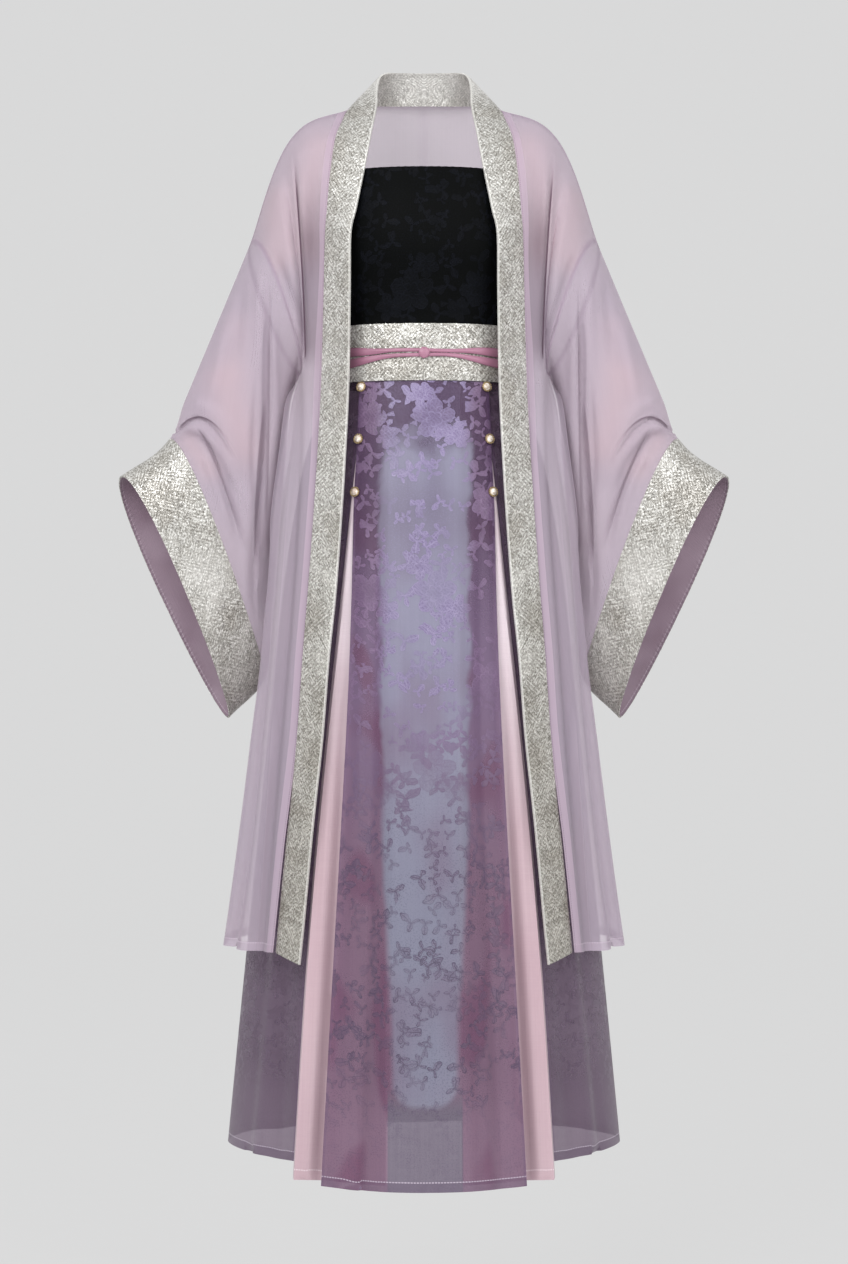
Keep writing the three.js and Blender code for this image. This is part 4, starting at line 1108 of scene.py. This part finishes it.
def robe_back():
    u, t = row(0, 1, 150), column(0, 1, 64)
    upper = patch(
        back_top,
        lambda a: back_section(np.full_like(a, ARMPIT_Z), a),
        lambda a: sleeve_point(0 * a, -180 * a),
        lambda a: sleeve_point(0 * a, -180 * a) * np.array([-1, 1, 1]),
        0.5, 1.5, u, t,
    )
    blade = np.clip(np.sin(math.pi * t**0.65), 0, 1) ** 0.6 * np.clip(np.sin(math.pi * u), 0, 1) ** 0.7
    upper[..., 1] += BLADE_DEPTH * blade
    z = column(ARMPIT_Z, ROBE_HEM_Z, 110)[1:]
    lower = back_section(z + 0 * u, u + 0 * z)
    lower[..., 1] += swelling(u, 6, 7, z, ARMPIT_Z, ROBE_HEM_Z)
    grid = np.concatenate([upper, lower])
    grid, tuck = add_folds(grid, sheet_normals(grid, False), BACK_CREASES, 1, 21)
    across = lengths(grid, 1)
    seam = near_edge(np.minimum(across, across[:, -1:] - across))
    seam = np.maximum(seam, near_edge(lengths(grid, 0), 7.0))
    seam = np.maximum(seam, near_edge(np.abs(grid[..., 0]), 2.4))
    # painted light: the glint mark draws the back lighter towards the neck, where it lies in the collar's
    # shade
    pale = 0.6 * ease((grid[..., 2] + 110) / 60)
    marks = {"tuck": tuck, "blush": 0 * tuck, "seam": seam, "glint": pale}
    nodes = [f"robe_back_{level}_{half}" for level in ("upper", "lower") for half in ("left", "right")]
    return shell("robe_back_cloth", grid, 0.8, CHIFFON, nodes, marks=marks)


SLEEVE_CREASES = (
    # elbow crumples above the cuff
    Fold([(-320, -410), (-306, -402), (-292, -395), (-280, -397), (-262, -412), (-246, -434), (-232, -456)],
         (-5, -3), (5, 8), 0, 0.1, (0.02, 0.4), sharp=1.3, soft=1),
    Fold([(-318, -420), (-302, -412), (-286, -408), (-268, -424), (-250, -450)],
         (5, 3), (6, 8), 0, 0, (0.02, 0.3)),
    Fold([(-296, -376), (-276, -380), (-256, -398), (-240, -426), (-226, -470)],
         (4, 2), (8, 10), 0, 0, (0.1, 0.3)),
    Fold([(-286, -406), (-266, -440), (-250, -484), (-238, -528), (-228, -570)],
         (-5, -4), (6, 8), 0, 0.12, (0.1, 0.4), sharp=1.3, soft=1),
    Fold([(-278, -440), (-264, -470), (-250, -510), (-240, -560)], (4, 3), (6, 8), 0, 0, (0.1, 0.4)),
    # long folds falling from the shoulder and the armhole
    Fold([(-193, -225), (-192, -290), (-194, -374), (-203, -471), (-212, -572), (-214, -674)],
         (-4, -5), (7, 8), 0, 0.0, (0.1, 0.25), sharp=1.2, soft=1),
    Fold([(-187, -240), (-187, -320), (-189, -395), (-195, -522), (-202, -640)],
         (5, 5), (6, 8), 0, 0, (0.2, 0.2)),
    Fold([(-152, -300), (-164, -372), (-174, -440), (-186, -510), (-198, -590), (-208, -670)],
         (-3, -5), (4, 10), 1.0, 0.3, (0.15, 0.25), sharp=0.9),
    Fold([(-176, -240), (-180, -320), (-182, -420), (-196, -520)],
         (0, 0), (11, 14), 0, 0.13, (0.3, 0.3), sharp=0.8),
    Fold([(-204, -200), (-208, -290), (-212, -370), (-220, -440)], (5, 4), (7, 10), 0, 0, (0.2, 0.3)),
    Fold([(-228, -215), (-234, -290), (-236, -350)], (-3, -3), (6, 9), 1.0, 0.12, (0.3, 0.4)),
    Fold([(-212, -330), (-216, -420), (-214, -520)], (-2, -3), (4, 6), 1.0, 0.2, (0.3, 0.4)),
    Fold([(-246, -260), (-256, -330), (-270, -390)], (4, 3), (8, 9), 1.0, 0, (0.3, 0.3)),
    Fold([(-222, -470), (-222, -560), (-232, -650)], (4, 3), (9, 9), 0, 0),
    # the same from behind
    Fold([(-199, -218), (-203, -290), (-205, -380), (-211, -480), (-216, -600)],
         (-7, -7), (4, 6), 3.0, 0.6, (0.15, 0.2), True),
    Fold([(-222, -210), (-232, -310), (-236, -390), (-232, -470)], (6, 5), (10, 11), 0, 0, (0.2, 0.3), True),
    Fold([(-250, -260), (-262, -330), (-274, -390)], (-4, -3), (7, 9), 1.0, 0.1, (0.3, 0.3), True),
    Fold([(-314, -402), (-292, -410), (-266, -436), (-244, -490)],
         (-7, -3), (5, 8), 3.0, 0.6, (0.05, 0.3), True),
    Fold([(-300, -425), (-276, -440), (-254, -480), (-240, -550)], (5, 3), (7, 9), 0, 0, (0.05, 0.3), True),
    Fold([(-200, -380), (-202, -480), (-212, -600), (-226, -690)], (5, 5), (7, 9), 2.0, 0, (0.2, 0.2), True),
)
SLEEVE_BLUSH = (
    ([(-250, -350), (-236, -400), (-228, -430)], 26, 0.9), ([(-236, -280), (-240, -330)], 18, 0.4),
    ([(-296, -425), (-272, -460)], 14, 0.8),
)


def arm_grid(side, low, high, rings):
    s = column(low, high, rings)
    degrees = row(0, 360, 161)[:, :-1]
    return mirror_if(sleeve_point(s + 0 * degrees, degrees + 0 * s), side)


SLEEVE_ROWS = 136


def sleeve(side, name):
    grid = arm_grid(side, 0, CUFF_SEAM, SLEEVE_ROWS)
    normals = sheet_normals(grid, True)
    grid, tuck = add_folds(grid, normals, SLEEVE_CREASES, side, 31 + side)
    base = arm_grid(side, 0, CUFF_SEAM, SLEEVE_ROWS)
    rows = np.arange(SLEEVE_ROWS)
    hold = ease(np.minimum(rows / 6, (SLEEVE_ROWS - 1 - rows) / 9))[:, None, None]
    grid = mix(base, grid, hold)
    seam = near_edge(lengths(grid, 0), 4.0)
    marks = {"tuck": tuck * hold[..., 0], "blush": blushes(grid, side, SLEEVE_BLUSH), "seam": seam}
    return shell(name + "_cloth", grid, 0.8, CHIFFON_SLEEVE, [name], around=True, marks=marks)


def cuff_wave(grid, normals, side, amount):
    """The stiff cuff's shallow dents."""
    x, z = grid[..., 0] * side, grid[..., 2]
    dent = np.sin((x * 0.05 + z * 0.031) + 1.2) * np.sin(x * 0.021 - z * 0.026)
    return grid + normals * (amount * dent)[..., None]


def cuff(side, name, facing_name):
    grid = arm_grid(side, CUFF_SEAM, CUFF_RIM, 26)
    normals = sheet_normals(grid, True)
    outer = cuff_wave(grid, normals, side, 1.6)
    # painted light: glint lightens a patch in the middle of the cuff and, more weakly, its lower end, which
    # faces away from the lamps
    gap = np.hypot(outer[..., 0] * side + 272, outer[..., 2] + 592)
    low_end = np.hypot(outer[..., 0] * side + 220, outer[..., 2] + 728)
    marks = {"glint": np.exp(-((gap / 34) ** 2)) + np.exp(-((low_end / 50) ** 2)) * 0.4}
    shell(name + "_cloth", outer, 1.8, BROCADE, [name], around=True, marks=marks)
    lining = outer - normals * 2.1
    trim = np.linspace(0, 1, 26)[:, None, None]
    lining = lining + (lining[:1] - lining[-1:]) * 0.006 * trim
    shell(facing_name + "_cloth", lining, 0.9, FACING, [facing_name], around=True)


def collar(side, name):
    s, u = column(0, BAND_END, 220), row(0, 1, 11)
    inner, outer = band(s + 0 * u)
    grid = mirror_if(mix(outer, inner, u[..., None]), side)
    normals = sheet_normals(grid, False)
    crown = 1.1 * (1 - np.abs(2 * u - 1) ** 6) + 0 * s
    sway = 0.7 * np.sin(s * 2.3) * np.sin(math.pi * u)
    grid = grid + normals * (crown + sway - 0.6)[..., None]
    marks = {"piped": 1.0 + 0 * (s + u)}
    return shell(name + "_cloth", grid, 2.2, BROCADE, [name], normals=normals, marks=marks)


# ---------- tube top, waistband and tie ----------
def tube_top(name, low, high):
    z, a = column(TOP_UPPER_Z, TOP_LOWER_Z, 84), row(low, high, 96)
    grid = torso(z + 0 * a, a + 0 * z)
    rng = np.random.default_rng(205 + low)
    ripple = 0
    for height, reach in ((-118, 9), (-196, 15), (-228, 12), (-262, 9), (-286, 6)):
        slope = rng.uniform(-0.06, 0.06)
        ripple = ripple + rng.uniform(0.5, 1.1) * np.exp(-(((z - height - slope * (a - 180)) / reach) ** 2))
    rolled = 0.9 * np.exp(-(((z - TOP_UPPER_Z) / 2.4) ** 2))
    gathers = 0.45 * np.sin(a * 1.7 + np.sin(a * 0.4)) * np.exp(-((z - TOP_UPPER_Z) / 14) ** 2)
    grid = grid + sheet_normals(grid, False) * (ripple + rolled + gathers - 0.8)[..., None]
    marks = {"tuck": 0 * (z + a)}
    return shell(name + "_cloth", grid, 1.0, BLACK, [name], marks=marks)


def waistband():
    z, a = column(WAIST_TOP_Z, WAIST_BOTTOM_Z, 19), row(0, 360, 161)[:, :-1]
    t = np.linspace(0, 1, 19)[:, None]
    grid = waist(z + 0 * a, a + 0 * z, 3.0)
    crown = 0.9 * (1 - np.abs(2 * t - 1) ** 8) - 0.5 * np.exp(-(((z + 321) / 9) ** 2))
    crown = crown + 0.25 * np.sin(np.radians(a) * 23) * np.exp(-(((t - 0.5) / 0.4) ** 2))
    grid = grid + sheet_normals(grid, True) * (crown - 0.4)[..., None]
    return shell("waistband_cloth", grid, 2.0, BROCADE, ["waistband"], around=True)


def tie_strand(name, upper, lower, phase):
    a = row(0, 360, 241)[:, :-1]
    t = column(0, 1, 7)
    z_line = waist(np.full_like(a, -320.0), a, 4.5)
    reach = np.where(z_line[..., 1] < 0, np.abs(z_line[..., 0]), 130.0)
    s = TIE(reach)
    top, low = getattr(s, upper), getattr(s, lower)
    z = mix(top, low, t)
    z = z + 0.5 * np.sin(np.radians(a) * 9 + phase)
    grid = waist(z, a + 0 * z, 4.9)
    soft = 1.1 * np.sin(math.pi * t) * (1 + 0.35 * np.sin(np.radians(a) * 17 + phase + 3 * t))
    grid = grid + sheet_normals(grid, True) * soft[..., None]
    # painted shade: the ribbon is drawn darker towards both long edges, where the rounded strand turns away
    # from the light
    marks = {"tuck": np.clip(0.5 * np.abs(2 * t - 1) ** 4 + 0 * a, 0, 1)}
    return shell(name + "_ribbon", grid, 1.2, RIBBON, [name], around=True, marks=marks)


def knot():
    """The knot at the centre front: a flattened bead with the ribbon's turns pressed into it."""
    low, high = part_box("waist_tie_knot")
    middle, size = (Vector(low) + Vector(high)) / 2, Vector(high) - Vector(low)
    bpy.ops.object.select_all(action="DESELECT")
    bpy.ops.mesh.primitive_uv_sphere_add(segments=48, ring_count=24, radius=0.5)
    piece = bpy.context.object
    piece.name = "waist_tie_knot_ribbon"
    for v in piece.data.vertices:
        turn = 0.05 * math.sin(v.co.x * 16 + v.co.z * 9) + 0.03 * math.sin(v.co.z * 26)
        v.co *= 1 + turn
        v.co = Vector((v.co.x * size.x * 1.1, v.co.y * size.y * 1.1, v.co.z * size.z)) + middle
    uv = piece.data.uv_layers[0]
    uv.name = "cut"
    for item in uv.data:
        item.uv = (item.uv[0] * 0.036, item.uv[1] * 0.018)
    edge = piece.data.uv_layers.new(name="edge")
    for item in edge.data:
        item.uv = (0.01, 0.03)
    piece.data.attributes.new("tuck", "FLOAT", "POINT")
    finish_piece(piece, RIBBON, ["waist_tie_knot"])
    return piece


# ---------- skirt ----------
def skirt_front():
    z, u = column(SKIRT_TOP_Z, SKIRT_HEM_Z, 190), row(-1, 1, 84)
    s = SKIRT(z)
    x = u * s.edge
    grid = points(x, panel_y(s, x), z + 0 * u)
    folds = (
        Fold([(-58, -420), (-62, -700), (-70, -1000), (-84, -1320)], (-1, -6), (7, 14), 1.0, 0, (0.3, 0)),
        Fold([(-30, -500), (-32, -800), (-40, -1320)], (1, 4), (9, 16), 0, 0, (0.3, 0)),
        Fold([(10, -460), (12, -800), (6, -1320)], (-1, -4), (9, 14), 1.0, 0, (0.3, 0)),
        Fold([(40, -440), (44, -800), (52, -1320)], (1, 4), (8, 14), 1.0, 0, (0.3, 0)),
        Fold([(66, -420), (70, -760), (92, -1320)], (-1, -5), (6, 12), 1.0, 0, (0.3, 0)),
    )
    grid, tuck = add_folds(grid, sheet_normals(grid, False), folds, 1, 41)
    seat = 0.5 * np.exp(-(((z - SKIRT_TOP_Z) / 8) ** 2)) * np.sin(u * 20)
    grid[..., 1] += seat
    return shell("skirt_front_cloth", grid, 0.8, PURPLE, ["skirt_front"],
                 marks={"tuck": tuck}, inside=PURPLE_BACK)


def pleat(side, name):
    z = column(SKIRT_TOP_Z, SKIRT_HEM_Z, 150)
    s = SKIRT(z)
    meet = s.fold + 4
    across = row(0, 1, 26)
    x = mix(s.fold, PLEAT_INNER_X, across)
    face = points(-x, panel_y(s, x) + s.nest, z + 0 * across)
    back_y = np.maximum(side_y(s, meet), face[:, :1, 1] + 1.2)
    turn = row(1, 0, 9)[:, :-1]
    round_x = mix(s.fold + 0.4, meet, np.sin(turn * math.pi / 2) ** 0.7)
    back = points(-round_x, mix(face[:, :1, 1], back_y, turn), z + 0 * turn)
    grid = mirror_if(np.concatenate([back, face], axis=1), side)
    folds = (
        Fold([(-96, -640), (-104, -900), (-124, -1320)], (-1, -5), (4, 8), 1.0, 0, (0.2, 0)),
        Fold([(-104, -700), (-118, -960), (-140, -1320)], (1, 4), (5, 9), 1.0, 0, (0.2, 0)),
    )
    grid, tuck = add_folds(grid, sheet_normals(grid, False), folds, side, 51 + side)
    # painted shade: the part of the pleat behind the front panel's edge is marked to be drawn dark mauve
    painted_shade_behind_panel = ease((s.edge - 2 - np.abs(grid[..., 0])) / 4)
    return shell(name + "_cloth", grid, 0.8, PINK, [name],
                 marks={"tuck": tuck, "painted_shade_behind_panel": painted_shade_behind_panel})


def skirt_side(side, name):
    z, u = column(SKIRT_TOP_Z, SKIRT_HEM_Z, 150), row(0, 1, 64)
    s = SKIRT(z)
    start = s.fold + 4.6
    first = np.arcsin((start / s.half) ** (s.power / 2))
    angle = mix(math.pi / 2, first, u)
    x = s.half * np.sin(angle) ** (2 / s.power)
    grid = mirror_if(points(-x, side_y(s, x), z + 0 * u), side)
    folds = (
        Fold([(-120, -420), (-140, -700), (-166, -1000), (-186, -1320)],
             (-1, -5), (5, 12), 2.0, 0.05, (0.3, 0)),
        Fold([(-128, -420), (-156, -760), (-190, -1100), (-212, -1320)], (2, 5), (7, 13), 1.0, 0, (0.3, 0)),
        Fold([(-150, -600), (-180, -900), (-222, -1320)], (-1, -4), (5, 9), 1.0, 0.05, (0.3, 0)),
    )
    grid, tuck = add_folds(grid, sheet_normals(grid, False), folds, side, 61 + side)
    return shell(name + "_cloth", grid, 0.8, DARK, [name],
                 marks={"tuck": tuck}, inside=DARK_BACK)


def skirt_back():
    z, u = column(SKIRT_TOP_Z, SKIRT_HEM_Z, 130), row(0, 1, 140)
    s, a = SKIRT(z), math.pi * u
    x = s.half * spow(np.cos(a), 2 / ROBE_BACK_POWER)
    reach = (s.back - s.sideY) * np.abs(np.sin(a)) ** (2 / ROBE_BACK_POWER)
    y = s.sideY + reach + swelling(u, 5, 5, z, SKIRT_TOP_Z, SKIRT_HEM_Z)
    grid = points(x, y, z + 0 * u)
    folds = tuple(
        Fold([(0.55 * k, -400), (0.78 * k, -800), (k, -1320)], (-1, -d), (6, 13), 2.0, 0.05, (0.3, 0), True)
        for k, d in ((-196, 5), (-150, -5), (-96, 6), (-52, -5), (-8, 6), (44, -6), (90, 5), (140, -5),
                     (188, 6))
    )
    grid, tuck = add_folds(grid, sheet_normals(grid, False), folds, 1, 71)
    return shell("skirt_back_cloth", grid, 0.8, DARK, ["skirt_back"], marks={"tuck": tuck},
                 inside=DARK_BACK)


def skirt_lining():
    levels = np.concatenate([
        np.linspace(SKIRT_TOP_Z, LINING_HEM_Z + LINING_CORNER, 90),
        LINING_HEM_Z + LINING_CORNER * (1 - np.sin(np.linspace(0, math.pi / 2, 14)[1:])),
    ])
    z, u = levels[:, None], row(-1, 1, 34)
    s = SKIRT(z)
    into = np.clip((LINING_HEM_Z + LINING_CORNER - z) / LINING_CORNER, 0, 1)
    rounding = LINING_CORNER * (1 - np.sqrt(1 - into * into))
    share = np.clip((SKIRT_TOP_Z - z) / (SKIRT_TOP_Z - LINING_HEM_Z), 0, 1)
    half = mix(LINING_HALF_TOP, LINING_HALF_HEM, share) - rounding
    x = u * half
    y = panel_y(s, x) + s.nest + LINING_GAP
    y = y + 2.0 * share * np.sin(u * 5 + z * 0.004)
    grid = points(x, y, z + 0 * u)
    return shell("skirt_lining_cloth", grid, 0.8, LINING, ["skirt_lining"],
                 marks={"tuck": 0 * (z + u)})


# ---------- buttons ----------
def button_model():
    """A domed stone in a pale gold cup with a ring of beads, standing along +Z at the origin."""
    bpy.ops.object.select_all(action="DESELECT")
    bpy.ops.mesh.primitive_cylinder_add(vertices=40, radius=0.0061, depth=0.0022, location=(0, 0, 0.0011))
    cup = bpy.context.object
    bpy.ops.object.mode_set(mode="EDIT")
    b = bmesh.from_edit_mesh(cup.data)
    for f in b.faces:
        f.select = f.normal.z > 0.9
    bmesh.update_edit_mesh(cup.data)
    bpy.ops.mesh.inset(thickness=0.0009, depth=-0.0004)
    bpy.ops.object.mode_set(mode="OBJECT")
    bevel = cup.modifiers.new("rounded", "BEVEL")
    bevel.width, bevel.segments = 0.0003, 2
    bpy.ops.object.modifier_apply(modifier="rounded")
    cup.data.materials.append(GOLD)
    bpy.ops.mesh.primitive_uv_sphere_add(segments=28, ring_count=14, radius=0.0046, location=(0, 0, 0.0017))
    stone = bpy.context.object
    for v in stone.data.vertices:
        v.co.z *= 0.72
    bpy.ops.object.transform_apply(location=True, rotation=True, scale=True)
    stone.data.materials.append(STONE)
    beads = []
    for k in range(14):
        angle = 2 * math.pi * k / 14
        place = (0.0058 * math.cos(angle), 0.0058 * math.sin(angle), 0.0019)
        bpy.ops.mesh.primitive_ico_sphere_add(subdivisions=2, radius=0.00088, location=place)
        bead = bpy.context.object
        bead.data.materials.append(GOLD)
        beads.append(bead)
    for part in (cup, stone, *beads):
        part.select_set(True)
    bpy.context.view_layer.objects.active = cup
    bpy.ops.object.join()
    bpy.ops.object.transform_apply(location=True, rotation=True, scale=True)
    return cup


def place_button(model, name):
    low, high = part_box(name)
    middle = (Vector(low) + Vector(high)) / 2
    x, z = middle.x / MM, middle.z / MM
    s = SKIRT(z)
    slope = 2 * s.drop * x / s.edge**2
    lean = (panel_y(SKIRT(z + 5), x) - panel_y(SKIRT(z - 5), x)) / 10
    out = Vector((float(slope), -1.0, float(lean))).normalized()
    seat = Vector((x, float(panel_y(s, x)), z)) * MM + out * 0.0008
    piece = model.copy()
    piece.data = model.data.copy()
    piece.name = name + "_jewel"
    bpy.context.scene.collection.objects.link(piece)
    piece.data.transform(Matrix.Translation(seat) @ out.to_track_quat("Z", "Y").to_matrix().to_4x4())
    finish_piece(piece, None, [name], 40)
    return piece


# ---------- the set ----------
robe_back()
for side, word in ((LEFT, "left"), (RIGHT, "right")):
    robe_front(side, "robe_front_" + word)
    sleeve(side, "sleeve_" + word)
    cuff(side, "cuff_band_" + word, "cuff_facing_" + word)
    collar(side, "collar_band_" + word)
    pleat(side, "pleat_" + word)
    skirt_side(side, "skirt_side_" + word)
tube_top("top_front", -90, 90)
tube_top("top_back", 90, 270)
waistband()
tie_strand("waist_tie_upper", "upperTop", "upperLow", 0.4)
tie_strand("waist_tie_lower", "lowerTop", "lowerLow", 2.1)
tie_knot = knot()
skirt_front()
skirt_back()
skirt_lining()
model = button_model()
for word in ("left", "right"):
    for number in (1, 2, 3):
        place_button(model, f"button_{word}_{number}")
bpy.data.objects.remove(model)

# Each sheet as it is cut, in metres: width, length, its area, how it is held and on what.
CUTS = {
    "robe_back_cloth": (0.76, 1.10, 0.60, "hung", ["collar_band_left_cloth", "collar_band_right_cloth"]),
    "top_front_cloth": (0.38, 0.22, 0.077, "stretched", []),
    "top_back_cloth": (0.355, 0.22, 0.073, "stretched", []),
    "waistband_cloth": (0.69, 0.072, 0.0487, "stretched", ["skirt_front_cloth"]),
    "waist_tie_upper_ribbon": (0.70, 0.012, 0.008, "laid", ["waistband_cloth"]),
    "waist_tie_lower_ribbon": (0.70, 0.012, 0.008, "laid", ["waistband_cloth"]),
    "skirt_front_cloth": (0.27, 0.985, 0.208, "hung", ["waistband_cloth"]),
    "skirt_back_cloth": (0.64, 0.985, 0.505, "hung", ["waistband_cloth"]),
    "skirt_lining_cloth": (0.096, 0.895, 0.077, "hung", ["waistband_cloth"]),
}
for word in ("left", "right"):
    CUTS |= {
        f"robe_front_{word}_cloth": (0.24, 1.09, 0.13, "hung", ["robe_back_cloth"]),
        f"sleeve_{word}_cloth": (0.75, 0.41, 0.142, "hung", ["robe_back_cloth"]),
        f"cuff_band_{word}_cloth": (0.757, 0.08, 0.052, "hung", [f"sleeve_{word}_cloth"]),
        f"cuff_facing_{word}_cloth": (0.745, 0.08, 0.05, "laid", [f"cuff_band_{word}_cloth"]),
        f"collar_band_{word}_cloth": (0.05, 1.255, 0.0585, "hung", [f"robe_front_{word}_cloth"]),
        f"pleat_{word}_cloth": (0.23, 0.98, 0.121, "folded", ["waistband_cloth"]),
        f"skirt_side_{word}_cloth": (0.172, 0.982, 0.14, "hung", ["waistband_cloth"]),
    }


# ---------- studio ----------
def backdrop():
    """A pale floor that rises in one sweep into the wall behind."""
    floor_z, wall_y, radius = -1.62, 7.5, 2.8  # the wall stands behind a camera that looks at the back
    profile = [(-7.0, floor_z)]
    for k in range(13):
        a = math.pi / 2 * k / 12
        profile.append((wall_y - radius + radius * math.sin(a), floor_z + radius - radius * math.cos(a)))
    profile.append((wall_y, 14.0))
    verts = [(x, y, z) for y, z in profile for x in (-21.0, 21.0)]
    faces = [(2 * k, 2 * k + 1, 2 * k + 3, 2 * k + 2) for k in range(len(profile) - 1)]
    mesh = bpy.data.meshes.new("studio_floor")
    mesh.from_pydata(verts, [], faces)
    for f in mesh.polygons:
        f.use_smooth = True
    floor = bpy.data.objects.new("studio_floor", mesh)
    bpy.context.scene.collection.objects.link(floor)
    c = Cloth("studio_paper")
    grain = c.noise(c.object_place(30.0), 2.0)
    colour = c.blend(grain.ramp(0.3, 0.7), rgb(226, 226, 226), rgb(228, 228, 228))
    body = c.node("ShaderNodeBsdfDiffuse", Color=colour)
    glow = c.node("ShaderNodeEmission", Color=rgb(219, 219, 219), Strength=1.0)
    both = c.tree.nodes.new("ShaderNodeMixShader")
    both.inputs[0].default_value = 0.85
    c.tree.links.new(body.outputs[0], both.inputs[1])
    c.tree.links.new(glow.outputs[0], both.inputs[2])
    mesh.materials.append(c.finish(both.outputs[0]))


def area_light(name, place, target, size, energy, colour=(1, 1, 1)):
    data = bpy.data.lights.new(name, "AREA")
    data.shape, data.size, data.energy, data.color = "SQUARE", size, energy, colour
    lamp = bpy.data.objects.new(name, data)
    lamp.location = place
    lamp.rotation_euler = (Vector(target) - Vector(place)).to_track_quat("-Z", "Y").to_euler()
    bpy.context.scene.collection.objects.link(lamp)


backdrop()
world = bpy.data.worlds.new("studio_air")
world.use_nodes = True
world.node_tree.nodes["Background"].inputs["Color"].default_value = (0.93, 0.94, 0.97, 1)
world.node_tree.nodes["Background"].inputs["Strength"].default_value = 0.72
bpy.context.scene.world = world
area_light("key_light", (-1.6, -3.3, 1.5), (0, 0, -0.4), 2.2, 96)
area_light("fill_light", (2.0, -3.2, 1.0), (0, 0, -0.5), 2.6, 64)
area_light("low_light", (0.2, -3.6, -1.0), (0, 0, -0.9), 1.8, 10)

camera_data = bpy.data.cameras.new("camera")
camera_data.sensor_fit = "VERTICAL"
camera_data.sensor_height = 36.0
camera_data.lens = 36.0 * 3.25 / 1.6053
camera = bpy.data.objects.new("camera", camera_data)
camera.location = (0, -3.25, -0.664)
camera.rotation_euler = (math.pi / 2, 0, 0)
bpy.context.scene.collection.objects.link(camera)
bpy.context.scene.camera = camera
bpy.context.scene.view_settings.view_transform = "Standard"
bpy.context.scene.cycles.transparent_max_bounces = 32
